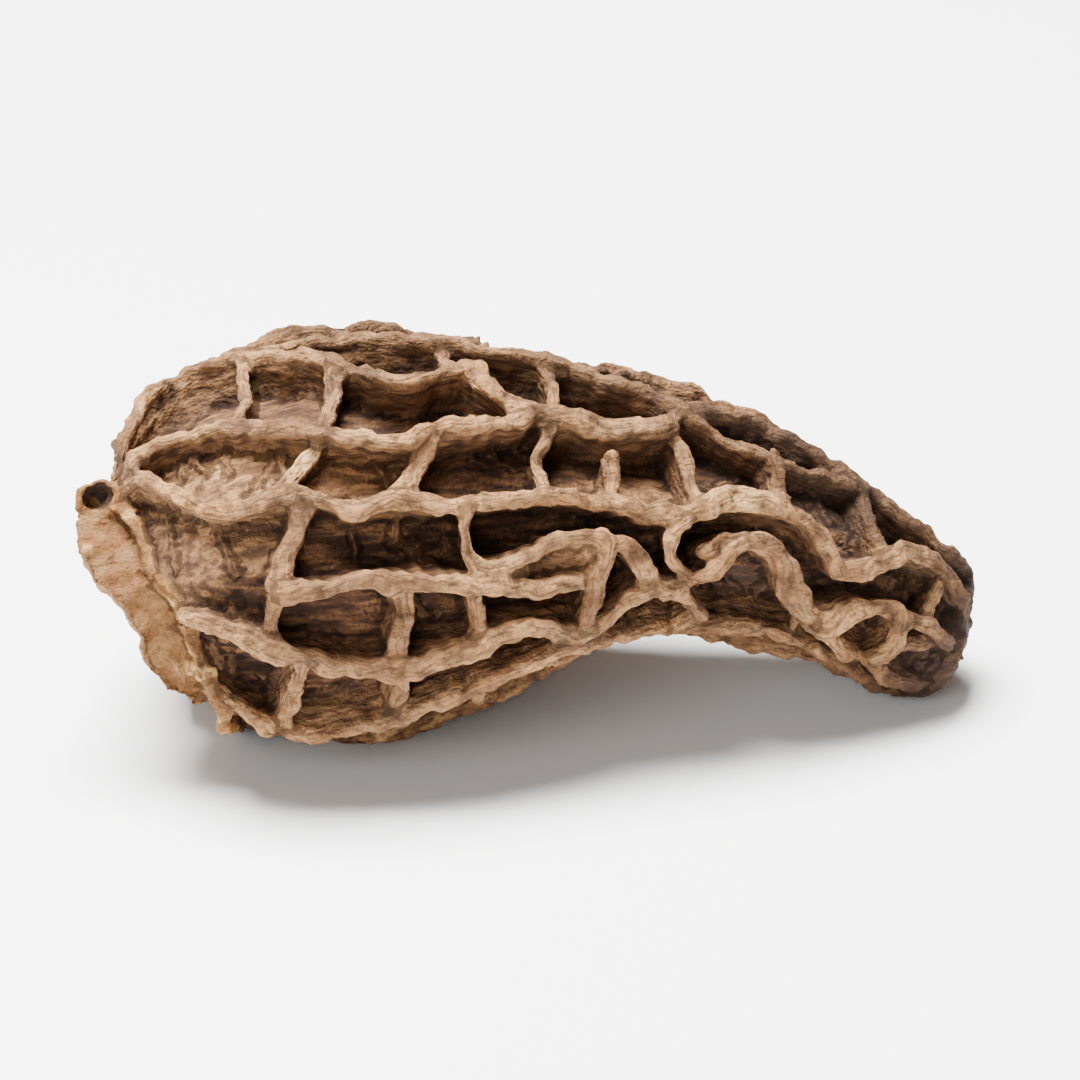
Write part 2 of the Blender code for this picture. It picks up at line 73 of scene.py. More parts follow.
# The dried flesh has sunk and swollen: share of the radius, waves round the cap, waves along it, phase.
DENTS = (
    (0.030, 2, 1.5, 0.4),
    (0.022, 3, -2.0, 1.9),
    (0.016, 5, 2.5, 4.2),
)

# Depths and the flesh's thickness are in millimetres, the ends and starts are stations.
PIT_DEPTH = 2.0
PIT_DEPTH_SHARE = 0.42
FLESH = 1.0
FLOOR_END = 0.985
HOLLOW_END = 0.74
TIP_ROUNDING_START = 0.9
NOSE_LENGTH = 0.09
LEAST_RADIUS = 0.02
LAST_RING = 0.993

# Near the stem on the side that shows, the pits are shallower. The shoal's middle is a station and an angle.
SHOAL_RISE = 0.9
SHOAL_STATION = 0.11
SHOAL_ANGLE = 54.0
SHOAL_ALONG = 0.11
SHOAL_AROUND = 40.0

# The knob at the tip: stations where it starts and is full, how far it fills the pits, and how deep it is
# sunk under the crests.
KNOB_START = 0.79
KNOB_FULL = 0.91
KNOB_FILL = 0.85
KNOB_SUNK = 0.15
KNOB_BASE_SUNK = 1.2

# The stub of the stem and its cut, in millimetres. A place is its angle and spread in degrees.
STUB_LENGTH = 1.2
STUB_GROW = 0.15
STUB_SLANT = 0.4
STUB_SLANT_ANGLE = 80.0
STUB_RAGGED = 0.25
STUB_TORN = 0.05
RIM_CROWN = 0.15
RIM_LIP = 1.0
RIM_LIP_PLACE = (78.0, 24.0)
RIM_REACH = 0.9
RIM_REACH_PLACE = (64.0, 20.0)
RIM_SETBACK = 0.9
RIM_SETBACK_PLACE = (118.0, 38.0)
MOUTH_FLARE = 0.4
MOUTH_LIP = 0.6
MOUTH_RUN = 0.25

# Slow and quick waves of the cut: share of the roughness, waves round it, phase.
RAGGED_WAVES = ((1.0, 3, 1.0), (0.6, 7, 2.2))
TORN_WAVES = ((1.0, 17, 0.6), (0.8, 29, 3.0), (0.6, 43, 0.0))

MARGIN_POINTS = 160
MARGIN_STATION = 0.008
MARGIN_WANDER = 0.006
MARGIN_SUNK = 0.35
MARGIN_WAVE = 0.2
# Where the margin dips: angle, spread in degrees, how deep.
MARGIN_DIPS = ((34.0, 34.0, 1.3), (108.0, 26.0, 0.85))
EDGE_BACK = 0.035
EDGE_BACK_PLACE = (115.0, 34.0)

# How the net's lines lie: sinkings in millimetres, runs along the cap as stations.
ROOT_SUNK = 0.45
START_DROP = 0.6
START_RUN = 0.045
CROSS_SAG = 0.45
CROSS_LEVEL = 0.16
RIDGE_END = 0.985

# Ridges on the far side. Angles are in degrees, the cross ridges' pitch, slant and bow are stations.
FAR_ANGLES = (136.0, 284.0)
FAR_RIDGES = 7
FAR_SEED = 23
FAR_POINTS = 14
FAR_WAVE_DEG = (2.7, 9.0)
FAR_WAVES = (2.2, 3.4)
FAR_RIPPLES = (5.0, 7.0)
FAR_RIPPLE_SHARE = 0.55
FAR_FIRST_CROSS = (0.07, 0.14)
FAR_CROSS_PITCH = 0.118
FAR_PITCH_SHARE = (0.72, 1.3)
FAR_SLANT = 0.045
FAR_BOW = 0.022

# How finely the flesh is built, in millimetres unless they are counts.
SAMPLES_A_POINT = 60
LEAST_PLACES = 5
RIDGE_STEP = 0.3
RIDGE_GAP = 7.3
ROOT_PASSES = 22
CORE_AROUND = 180
CORE_ALONG = 150
STUB_RINGS = 5
HOLLOW_RINGS = 90
KNOB_AROUND = 90
KNOB_RINGS = 24
VOXEL = 0.13
TRIANGLES = 194000

# Low folds of skin on the floors of the pits, in millimetres, degrees and stations.
FOLDS = 190
FOLD_SEED = 8
FOLD_STATIONS = (0.03, 0.88)
FOLD_HIGH = (0.18, 0.42)
FOLD_LONG = (1.6, 4.2)
FOLD_HEADING = (35.0, 145.0)
FOLD_BOW = 0.012
FOLD_SUNK = 0.12
FOLD_STOUT = 0.5

# Marks that the skin and the colours read. The drop goes from 0 on a crest to 1 on a pit's floor, and the
# stub's look fades out over a run of stations.
FOLD_DROP = 0.55
KNOB_DROP = 0.55
STUB_DROP = 0.8
RIM_DROP = 0.6
CURL_DROP = 0.2
CURL_STUB = 0.8
RIDGE_STUB_FADE = 0.03
FLOOR_STUB_FADE = 0.035

# Long ridges on the side that shows, each as (station, angle) points from the margin to the tip.
SHOWN_RIDGES = {
    "crown": ((0.0, 84), (0.05, 87), (0.08, 98), (0.12, 112), (0.16, 110), (0.20, 98), (0.25, 85),
        (0.30, 72), (0.335, 76), (0.36, 81), (0.385, 69), (0.45, 65), (0.505, 68), (0.525, 79)),
    "crown_back": ((0.165, 109), (0.21, 103), (0.26, 101), (0.30, 99), (0.34, 95), (0.385, 91), (0.43, 90),
        (0.47, 87), (0.50, 85), (0.525, 80)),
    "crown_tip": ((0.52, 79), (0.58, 90), (0.65, 86), (0.72, 80), (0.80, 77), (0.88, 84), (0.985, 80)),
    "brow": ((0.0, 80), (0.04, 78), (0.08, 75), (0.13, 70), (0.16, 66), (0.19, 61), (0.24, 56), (0.29, 52),
        (0.32, 56), (0.36, 58), (0.40, 63), (0.42, 66)),
    "waist": ((0.0, 74), (0.045, 71), (0.065, 61), (0.085, 52), (0.11, 42), (0.15, 40), (0.19, 42),
        (0.235, 34), (0.27, 36), (0.33, 33), (0.41, 36), (0.465, 33), (0.50, 29), (0.54, 33),
        (0.565, 41), (0.615, 42), (0.64, 38), (0.66, 28), (0.675, 19)),
    "waist_tip": ((0.672, 20), (0.70, 26), (0.725, 40), (0.755, 53), (0.80, 57), (0.85, 46), (0.985, 42)),
    "middle": ((0.142, 16), (0.20, 14), (0.235, 15), (0.27, 12), (0.33, 8), (0.38, 4), (0.44, 2)),
    "middle_loop": ((0.335, 33), (0.33, 22), (0.335, 14), (0.355, 12), (0.385, 15), (0.41, 18), (0.445, 21),
        (0.461, 16), (0.455, 4), (0.442, -19)),
    "middle_fall": ((0.461, 16), (0.475, 17), (0.492, 8), (0.513, -4), (0.54, -10), (0.562, -20),
        (0.565, -32), (0.55, -42)),
    "tip_loop": ((0.53, 30), (0.52, 18), (0.53, 7), (0.545, -1), (0.56, 2), (0.572, 13), (0.587, 24),
        (0.605, 25), (0.618, 19), (0.63, 9), (0.65, -3), (0.675, -12), (0.697, -9), (0.71, 2),
        (0.735, 12), (0.755, 13), (0.775, 4), (0.782, -9), (0.77, -25)),
    "tip_front": ((0.757, 12), (0.81, 17), (0.86, 12), (0.985, 2)),
    "belly": ((0.0, 21), (0.03, 16), (0.06, 12), (0.09, 5), (0.12, -1), (0.16, -6), (0.21, -11),
        (0.265, -15), (0.31, -13), (0.36, -10), (0.40, -12), (0.435, -21), (0.46, -21),
        (0.48, -13), (0.49, -8), (0.512, -4)),
    "belly_tip": ((0.68, -12), (0.71, -22), (0.75, -29), (0.80, -31), (0.86, -27), (0.985, -34)),
    "keel": ((0.0, -5), (0.015, -14), (0.035, -28), (0.065, -40), (0.12, -43), (0.18, -40), (0.23, -36),
        (0.28, -31), (0.35, -25), (0.40, -24), (0.45, -28), (0.50, -37), (0.55, -42), (0.60, -35),
        (0.66, -32), (0.70, -38), (0.76, -52), (0.86, -54), (0.985, -70)),
}

# Cross ridges on the side that shows.
SHOWN_CROSSINGS = (
    ((0.253, 84), (0.239, 68), (0.224, 57)),
    ((0.178, 104), (0.167, 80), (0.152, 67)),
    ((0.345, 94), (0.350, 87), (0.355, 80)),
    ((0.430, 90), (0.433, 78), (0.430, 65)),
    ((0.224, 57), (0.208, 51), (0.185, 47), (0.150, 41)),
    ((0.315, 55), (0.300, 46), (0.277, 36)),
    ((0.428, 65), (0.412, 51), (0.411, 37)),
    ((0.469, 54), (0.471, 45), (0.466, 34)),
    ((0.520, 70), (0.533, 52), (0.542, 34)),
    ((0.197, 41), (0.180, 31), (0.160, 24), (0.144, 16)),
    ((0.262, 13), (0.270, 6), (0.262, -3), (0.250, -14)),
    ((0.330, 8), (0.335, -3), (0.330, -12)),
    ((0.144, 16), (0.125, 7), (0.117, 0)),
    ((0.157, -6), (0.140, -16), (0.105, -30), (0.078, -41)),
    ((0.255, -14), (0.258, -24), (0.240, -35)),
    ((0.525, 79), (0.580, 74), (0.630, 72), (0.688, 81)),
    ((0.600, 72), (0.612, 58), (0.610, 43)),
    ((0.690, 81), (0.700, 64), (0.724, 41)),
    ((0.546, 12), (0.561, 20), (0.585, 24)),
    ((0.370, 7), (0.395, 9), (0.425, 13), (0.452, 14)),
    ((0.665, -11), (0.668, -22), (0.675, -33)),
    ((0.800, 57), (0.806, 38), (0.805, 17)),
    ((0.785, -8), (0.820, -2), (0.850, 12)),
    ((0.770, -25), (0.778, -40), (0.775, -52)),
)

# Width of a ridge against the usual one, at shares of its length.
STOUT = {
    "crown": ((0.0, 1.0), (0.35, 1.0), (0.6, 1.1), (0.78, 1.3), (0.86, 1.6), (1.0, 1.2)),
    "crown_back": ((0.0, 0.9), (1.0, 0.9)),
    "brow": ((0.0, 1.0), (0.5, 1.05), (1.0, 1.1)),
    "waist": ((0.0, 0.9), (0.15, 1.1), (0.4, 1.15), (0.6, 1.0), (0.72, 1.2), (0.82, 1.6), (0.92, 1.15),
        (1.0, 1.1)),
    "waist_tip": ((0.0, 1.1), (0.4, 1.25), (1.0, 1.0)),
    "middle": ((0.0, 1.2), (1.0, 1.1)),
    "middle_loop": ((0.0, 0.8), (0.3, 0.9), (0.55, 1.1), (0.75, 1.3), (1.0, 1.1)),
    "middle_fall": ((0.0, 1.2), (0.6, 1.2), (1.0, 0.9)),
    "tip_loop": ((0.0, 0.8), (0.26, 0.85), (0.36, 1.3), (0.5, 1.6), (0.66, 1.5), (0.8, 1.2), (1.0, 1.0)),
    "belly": ((0.0, 1.0), (0.15, 1.3), (0.6, 1.3), (1.0, 1.0)),
    "keel": ((0.0, 0.9), (0.15, 1.1), (0.3, 1.2), (0.6, 0.9), (1.0, 0.9)),
}
USUAL_STOUT = ((0.0, 1.0),)
CROSS_STOUT = 0.85
STOUT_CROSSINGS = {0: 1.1, 4: 1.1, 5: 1.2, 9: 1.4, 10: 1.2, 13: 1.1, 22: 1.1}

# Past this station the ridges sink into the tip's knob.
TIP_SINK_START = 0.86
TIP_SINK = 0.9

# Soft spots where the flesh has dried paler, and darker spots, partly darker flesh and partly painted
# shade: station, angle, reach along the cap, reach round it in degrees, strength.
PALE_SPOTS = (
    (0.12, 58, 0.08, 14, 0.9),
    (0.06, 32, 0.06, 16, 0.35),
    (0.25, 47, 0.07, 12, 1.0),
    (0.15, 26, 0.04, 8, 0.3),
    (0.10, 92, 0.08, 14, 0.2),
    (0.50, 44, 0.04, 9, 0.7),
    (0.585, 40, 0.04, 14, 1.0),
    (0.49, 70, 0.03, 12, 0.8),
    (0.20, 200, 0.12, 40, 0.5),
    (0.55, 250, 0.10, 30, 0.5),
)
# Darker spots: partly darker flesh, partly painted shade on the top, the back and the tip.
DARK_AND_SHADE_SPOTS = (
    (0.64, 94, 0.22, 32, 1.0),
    (0.36, 124, 0.14, 24, 0.8),
    (0.90, 70, 0.10, 70, 1.0),
    (0.70, 64, 0.06, 14, 0.6),
    (0.60, -14, 0.06, 18, 0.7),
    (0.90, -40, 0.10, 60, 0.9),
    (0.40, 170, 0.12, 30, 0.5),
    (0.80, 200, 0.14, 60, 0.8),
)

# The stub's rim is curled into a small dimpled knot where it stands up. Each row is the knot's radius and
# how far it lies towards the front, in millimetres, then how deep in its dimple.
CURL_PLACE = (0.42, -1.3, 10.8)
CURL_FACING = (-0.14, -0.90, 0.42)
CURL_ROWS = (
    (0.35, -0.70, 0.0),
    (0.80, -0.55, 0.0),
    (0.96, -0.15, 0.0),
    (0.95, 0.15, 0.0),
    (0.82, 0.36, 0.0),
    (0.62, 0.42, 0.0),
    (0.44, 0.30, 0.4),
    (0.33, 0.05, 1.0),
    (0.30, -0.20, 1.0),
    (0.18, -0.34, 1.0),
)

CURL_AROUND = 48
CURL_FLATTENED = 0.85
# The knot's own dents: share of the radius, waves round it, phase.
CURL_DENTS = ((0.10, 2, 0.4), (0.06, 5, 1.0))

# The borders of the far side's net, where it meets the shown crown and keel ridges.
CROWN_BORDER = ((0.0, 86), (0.12, 112), (0.21, 103), (0.34, 95), (0.52, 82), (0.58, 90), (0.65, 86),
        (1.0, 80))
KEEL_BORDER = ((0.0, 354), (0.065, 320), (0.18, 320), (0.35, 335), (0.43, 335), (0.55, 318), (0.66, 328),
        (0.76, 308), (0.86, 306), (1.0, 290))

CAMERA_AZIMUTH = -9.0
CAMERA_ELEVATION = 25.0
CAMERA_LENS = 250.0
CAMERA_DISTANCE = 0.278
CAMERA_AIM = (0.0005, 0.0, 0.0068)
CAMERA_CLIP = (0.005, 10.0)

# Soft lights: name, place and size in metres, power in watts.
LIGHTS = (
    ("key", (-0.05, 0.02, 0.27), 0.16, 6.1),
    ("fill", (-0.16, -0.24, 0.12), 0.20, 0.75),
)
SURROUND_STRENGTH = 0.14
FLOOR_COLOUR = (0.93, 0.93, 0.92, 1.0)
FLOOR_ROUGHNESS = 0.7


# The cap's shape.

def smooth_through(points, share):
    """Catmull-Rom curve through the points, read at shares of its length in control spans."""
    points = np.asarray(points, float)
    last = len(points) - 1
    place = np.clip(np.atleast_1d(np.asarray(share, float)), 0.0, 1.0) * last
    span = np.minimum(place.astype(int), last - 1)
    f = (place - span)[:, None]
    here = points[span]
    ahead = points[span + 1]
    before = np.where((span > 0)[:, None], points[np.maximum(span - 1, 0)], 2 * here - ahead)
    beyond = np.where((span < last - 1)[:, None], points[np.minimum(span + 2, last)], 2 * ahead - here)
    return 0.5 * (
        2 * here
        + (ahead - before) * f
        + (2 * before - 5 * here + 4 * ahead - beyond) * f**2
        + (3 * here - before - 3 * ahead + beyond) * f**3
    )


def unit(vectors):
    return vectors / np.linalg.norm(vectors, axis=-1, keepdims=True)


def cap_section(station):
    """Middle, side and up directions, half width and half height of the cap at each station."""
    step = 1e-3
    row = smooth_through(CAP_STATIONS, station)
    ahead = smooth_through(CAP_STATIONS, station + step)
    behind = smooth_through(CAP_STATIONS, station - step)
    along = unit((ahead - behind)[:, :3])
    side = np.tile((0.0, -1.0, 0.0), (len(row), 1))
    side = unit(side - (side * along).sum(1)[:, None] * along)
    up = np.cross(side, along)
    up *= np.sign(up[:, 2])[:, None]
    return row[:, :3], side, up, row[:, 3], row[:, 4]


def rounded_end(station, start, end):
    """1 along the cap, falling to 0 at the end as a round nose does."""
    share = np.clip((station - start) / (end - start), 0.0, 1.0)
    return np.sqrt(1.0 - share**2)


def dented(station, turn):
    """The cap's radius against that of its smooth body."""
    swell = np.ones_like(turn)
    for share, around, along, phase in DENTS:
        swell += share * np.sin(around * turn + along * math.tau * station + phase)
    return swell


def pit_depth(station, half_width, half_height):
    """How far the floors lie below the crests: less where the cap is narrow, little at the tip's knob."""
    fill = KNOB_FILL * np.clip((station - KNOB_START) / (KNOB_FULL - KNOB_START), 0.0, 1.0)
    return np.minimum(PIT_DEPTH, PIT_DEPTH_SHARE * np.minimum(half_width, half_height)) * (1.0 - fill)


def bump(angle, centre, spread):
    """1 at the centre angle, falling smoothly to 0 on both sides of it."""
    off = (angle - centre + 180.0) % 360.0 - 180.0
    return np.exp(-((off / spread) ** 2))


def cap_point(station, angle, layer, sunk=0.0):
    """Points of the cap's crest, floor or hollow surface, sunk further by some millimetres."""
    station, angle = np.broadcast_arrays(np.atleast_1d(np.asarray(station, float)), np.asarray(angle, float))
    turn = np.radians(angle)
    if layer == "crest":
        middle, side, up, a, b = cap_section(station)
        nose = rounded_end(station, TIP_ROUNDING_START, 1.0)
        inset = np.zeros_like(a)
    else:
        end = FLOOR_END if layer == "floor" else HOLLOW_END
        station = station * end
        middle, side, up, a, b = cap_section(station)
        nose = rounded_end(station, end - NOSE_LENGTH, end)
        inset = pit_depth(station, a, b) + (0.0 if layer == "floor" else FLESH)
        if layer == "floor":
            inset -= SHOAL_RISE * np.exp(-(((station - SHOAL_STATION) / SHOAL_ALONG) ** 2)) * bump(
                angle, SHOAL_ANGLE, SHOAL_AROUND
            )
    swell = dented(station, turn)
    wide = ((a * swell - inset - sunk) * nose).clip(min=LEAST_RADIUS)
    high = ((b * swell - inset - sunk) * nose).clip(min=LEAST_RADIUS)
    return middle + (wide * np.cos(turn))[:, None] * side + (high * np.sin(turn))[:, None] * up


def outward(station, angle):
    """Directions away from the cap's axis, or from its last full section near the tip."""
    middle = cap_section(np.minimum(station, KNOB_FULL))[0]
    return unit(cap_point(station, angle, "crest") - middle)


def waves(table, turn):
    return sum(share * np.sin(number * turn + phase) for share, number, phase in table)


def axis_ring(station, layer, around, back=0.0, uneven=0.0, ragged=0.0, torn=0.0, grow=0.0, lip=0.0):
    """A ring of the body round the cap's axis, slid back past the margin. uneven is the cut's share in it."""
    angle = np.linspace(0.0, 360.0, around, endpoint=False)
    grow = grow + lip * bump(angle, *RIM_LIP_PLACE)
    ring = cap_point(np.full(around, station), angle, layer, sunk=-grow)
    ends = smooth_through(CAP_STATIONS, [0.0, 0.02])[:, :3]
    stemward = unit(ends[0] - ends[1])
    turn = np.radians(angle)
    tear = ragged * waves(RAGGED_WAVES, turn)
    tear += torn * waves(TORN_WAVES, turn)
    cut = STUB_SLANT * np.cos(turn - math.radians(STUB_SLANT_ANGLE))
    cut += RIM_REACH * bump(angle, *RIM_REACH_PLACE)
    cut -= RIM_SETBACK * bump(angle, *RIM_SETBACK_PLACE)
    return ring + stemward * (back + uneven * cut + tear)[:, None]


def spots(station, angle):
    """How strongly the pale spots and the darker spots, partly painted shade, cover each place, from 0 to 1.
    """
    covers = {}
    for kind, table in (("pale", PALE_SPOTS), ("dark", DARK_AND_SHADE_SPOTS)):
        cover = np.zeros(np.broadcast(station, angle).shape)
        for middle, centre, along, around, strength in table:
            cover += strength * np.exp(-(((station - middle) / along) ** 2)) * bump(angle, centre, around)
        covers[kind] = np.clip(cover, 0.0, 1.0)
    return covers


# The net's lines.

def stepped(points, step):
    """(station, angle) places along the smooth line through the points, evenly spaced on the crests."""
    places = smooth_through(points, np.linspace(0.0, 1.0, SAMPLES_A_POINT * len(points)))
    moves = np.diff(cap_point(places[:, 0], places[:, 1], "crest"), axis=0)
    run = np.concatenate([[0.0], np.cumsum(np.linalg.norm(moves, axis=1))])
    marks = np.linspace(0.0, run[-1], max(LEAST_PLACES, round(run[-1] / step) + 1))
    return np.stack([np.interp(marks, run, places[:, i]) for i in range(2)], axis=1)


def straightened(places, passes):
    """The root of a ridge runs straighter than its crest, which has buckled in drying."""
    root = places.copy()
    for _ in range(passes):
        root[1:-1] = 0.5 * root[1:-1] + 0.25 * (root[:-2] + root[2:])
    return root


class NetLines:
    """The crest lines of the net, with what each crest point needs for the blade under it."""

    def __init__(self):
        self.columns = {}
        self.edges = []
        self.count = 0
        self.start = 0.0

    def add(self, places, level, stout, ring_closed=False, floor_fold=None):
        """A line through the places. level is how far each crest point is sunk, stout scales the width."""
        station, angle = places.T
        root_places = places if ring_closed else straightened(places, ROOT_PASSES)
        if floor_fold is None:
            crest = cap_point(station, angle, "crest", sunk=level)
            root = cap_point(*root_places.T, "floor", sunk=ROOT_SUNK)
        else:
            crest = cap_point(station, angle, "floor", sunk=-floor_fold)
            root = cap_point(station, angle, "floor", sunk=ROOT_SUNK)
        up = outward(station, angle)
        number = len(places)
        order = np.arange(number)
        if ring_closed:
            crest_run = np.roll(crest, -1, 0) - np.roll(crest, 1, 0)
            root_run = np.roll(root, -1, 0) - np.roll(root, 1, 0)
            pairs = np.stack([order, np.roll(order, -1)], axis=1)
        else:
            crest_run = np.gradient(crest, axis=0)
            root_run = np.gradient(root, axis=0)
            pairs = np.stack([order[:-1], order[1:]], axis=1)
        lengths = np.linalg.norm(np.diff(crest, axis=0), axis=1)
        run = self.start + np.concatenate([[0.0], np.cumsum(lengths)])
        row = {
            "crest": crest,
            "root": root,
            "crest_across": unit(np.cross(crest_run, up)),
            "root_across": unit(np.cross(root_run, up)),
            "run": run,
            "stout": np.broadcast_to(stout, number),
            "stub": np.clip(1.0 - station / RIDGE_STUB_FADE, 0.0, 1.0),
            "low": np.full(number, 0.0 if floor_fold is None else FOLD_DROP),
            **spots(station, angle),
        }
        for name, values in row.items():
            self.columns.setdefault(name, []).append(values)
        self.edges.append(pairs + self.count)
        self.count += number
        self.start = run[-1] + RIDGE_GAP

    def object(self, name):
        """The lines as edges of a mesh, with the columns as its point attributes."""
        columns = {key: np.concatenate(values) for key, values in self.columns.items()}
        mesh = bpy.data.meshes.new(name)
        mesh.from_pydata(columns["crest"].tolist(), np.concatenate(self.edges).tolist(), [])
        for key, values in columns.items():
            store(mesh, key, values)
        return placed(name, mesh)


def store(mesh, name, values):
    """A point attribute of the mesh, a float or a vector for each vertex."""
    values = np.asarray(values, np.float32)
    kind, field = ("FLOAT_VECTOR", "vector") if values.ndim == 2 else ("FLOAT", "value")
    mesh.attributes.new(name, kind, "POINT").data.foreach_set(field, values.ravel())


def placed(name, data):
    piece = bpy.data.objects.new(name, data)
    bpy.context.scene.collection.objects.link(piece)
    return piece


def set_back(angle):
    """How far along the cap its edge starts: further behind the crown."""
    return EDGE_BACK * bump(angle, *EDGE_BACK_PLACE)


def start_drop(places):
    """How far a long ridge's crest points are sunk near the cap's edge."""
    station, angle = places.T
    return START_DROP * np.clip(1.0 - (station - set_back(angle)) / START_RUN, 0.0, 2.0)


def long_line(lines, points, stout=USUAL_STOUT):
    places = stepped(points, RIDGE_STEP)
    places = places[places[:, 0] >= set_back(places[:, 1])]
    share = np.linspace(0.0, 1.0, len(places))
    to_tip = np.clip((places[:, 0] - TIP_SINK_START) / (RIDGE_END - TIP_SINK_START), 0.0, 1.0)
    lines.add(places, start_drop(places) + TIP_SINK * to_tip, np.interp(share, *np.array(stout).T))


def cross_line(lines, points, stout=CROSS_STOUT):
    places = stepped(points, RIDGE_STEP)
    share = np.linspace(0.0, 1.0, len(places))
    lines.add(places, CROSS_LEVEL + CROSS_SAG * np.sin(math.pi * share), stout)


def margin_line(lines):
    angle = np.linspace(0.0, 360.0, MARGIN_POINTS, endpoint=False)
    station = MARGIN_STATION + MARGIN_WANDER * np.sin(np.radians(3 * angle + 40)) + set_back(angle)
    level = MARGIN_SUNK + MARGIN_WAVE * np.sin(np.radians(5 * angle))
    for centre, spread, deep in MARGIN_DIPS:
        level += deep * bump(angle, centre, spread)
    lines.add(np.stack([station, angle], axis=1), level, 1.0, ring_closed=True)


def hidden_lines(draw):
    """Angles of the far side's long ridges, evenly spaced and buckled, at even stations to the tip."""
    station = np.linspace(0.0, RIDGE_END, FAR_POINTS)
    buckle = np.interp(station, (0.0, 1.0), FAR_WAVE_DEG)
    rows = []
    for middle in np.linspace(*FAR_ANGLES, FAR_RIDGES):
        phase = draw.uniform(0.0, math.tau)
        slow = draw.uniform(*FAR_WAVES)
        quick = draw.uniform(*FAR_RIPPLES)
        wave = np.sin(math.tau * slow * station + phase)
        ripple = FAR_RIPPLE_SHARE * np.sin(math.tau * quick * station + 2.0 * phase)
        rows.append(np.stack([station, middle + buckle * (wave + ripple)], axis=1))
    return rows


def hidden_net(lines):
    """The far side's long ridges, and cross ridges between neighbours at uneven pitches."""
    draw = random.Random(FAR_SEED)
    rows = hidden_lines(draw)
    for row in rows:
        long_line(lines, row)
    borders = [np.array(CROWN_BORDER), *rows, np.array(KEEL_BORDER)]
    for low, high in zip(borders[:-1], borders[1:]):
        station = draw.uniform(*FAR_FIRST_CROSS)
        while station < KNOB_FULL:
            slant = draw.uniform(-FAR_SLANT, FAR_SLANT)
            start = (station + slant, np.interp(station + slant, *low.T))
            end = (station - slant, np.interp(station - slant, *high.T))
            middle = (station + draw.uniform(-FAR_BOW, FAR_BOW), 0.5 * (start[1] + end[1]))
            cross_line(lines, (start, middle, end))
            station += FAR_CROSS_PITCH * draw.uniform(*FAR_PITCH_SHARE)


def floor_folds(lines):
    """Short low folds across the floors of the pits, all over the cap."""
    draw = random.Random(FOLD_SEED)
    length = np.linalg.norm(np.diff(np.array(CAP_STATIONS)[:, :3], axis=0), axis=1).sum()
    for _ in range(FOLDS):
        station = draw.uniform(*FOLD_STATIONS)
        angle = draw.uniform(0.0, 360.0)
        radius = float(smooth_through(CAP_STATIONS, station)[0, 3:].mean()) - PIT_DEPTH
        reach = 0.5 * draw.uniform(*FOLD_LONG)
        heading = math.radians(draw.uniform(*FOLD_HEADING))
        along = reach * math.cos(heading) / length
        round_it = math.degrees(reach * math.sin(heading) / max(radius, 1.0))
        bow = draw.uniform(-FOLD_BOW, FOLD_BOW)
        points = (
            (station - along, angle - round_it),
            (station + bow, angle),
            (station + along, angle + round_it),
        )
        places = stepped(points, RIDGE_STEP)
        share = np.linspace(0.0, 1.0, len(places))
        high = draw.uniform(*FOLD_HIGH) * np.sin(math.pi * share) ** 0.5 - FOLD_SUNK
        lines.add(places, 0.0, FOLD_STOUT, floor_fold=high)


# The flesh under the net.

def loft(name, rings, marks):
    """One closed skin through rings of points, with a pole at each end. Each ring has its marks."""
    rings = np.array(rings)
    number, around = rings.shape[:2]
    points = np.concatenate([rings.reshape(-1, 3), rings[0].mean(0)[None], rings[-1].mean(0)[None]])
    order = np.arange(number * around).reshape(number, around)
    beside = np.roll(order, -1, axis=1)
    faces = np.stack([order[:-1], beside[:-1], beside[1:], order[1:]], axis=-1).reshape(-1, 4).tolist()
    first, last = number * around, number * around + 1
    faces += [(first, int(b), int(a)) for a, b in zip(order[0], beside[0])]
    faces += [(last, int(a), int(b)) for a, b in zip(order[-1], beside[-1])]
    mesh = bpy.data.meshes.new(name)
    mesh.from_pydata(points.tolist(), [], faces)
    for key in ("drop", "stub", "inside", "knob", "pale", "dark"):
        values = np.array([np.broadcast_to(mark.get(key, 0.0), around) for mark in marks])
        store(mesh, key, np.append(values.ravel(), [values[0].mean(), values[-1].mean()]))
    work = bmesh.new()
    work.from_mesh(mesh)
    bmesh.ops.recalc_face_normals(work, faces=work.faces)
    work.to_mesh(mesh)
    work.free()
    return placed(name, mesh)


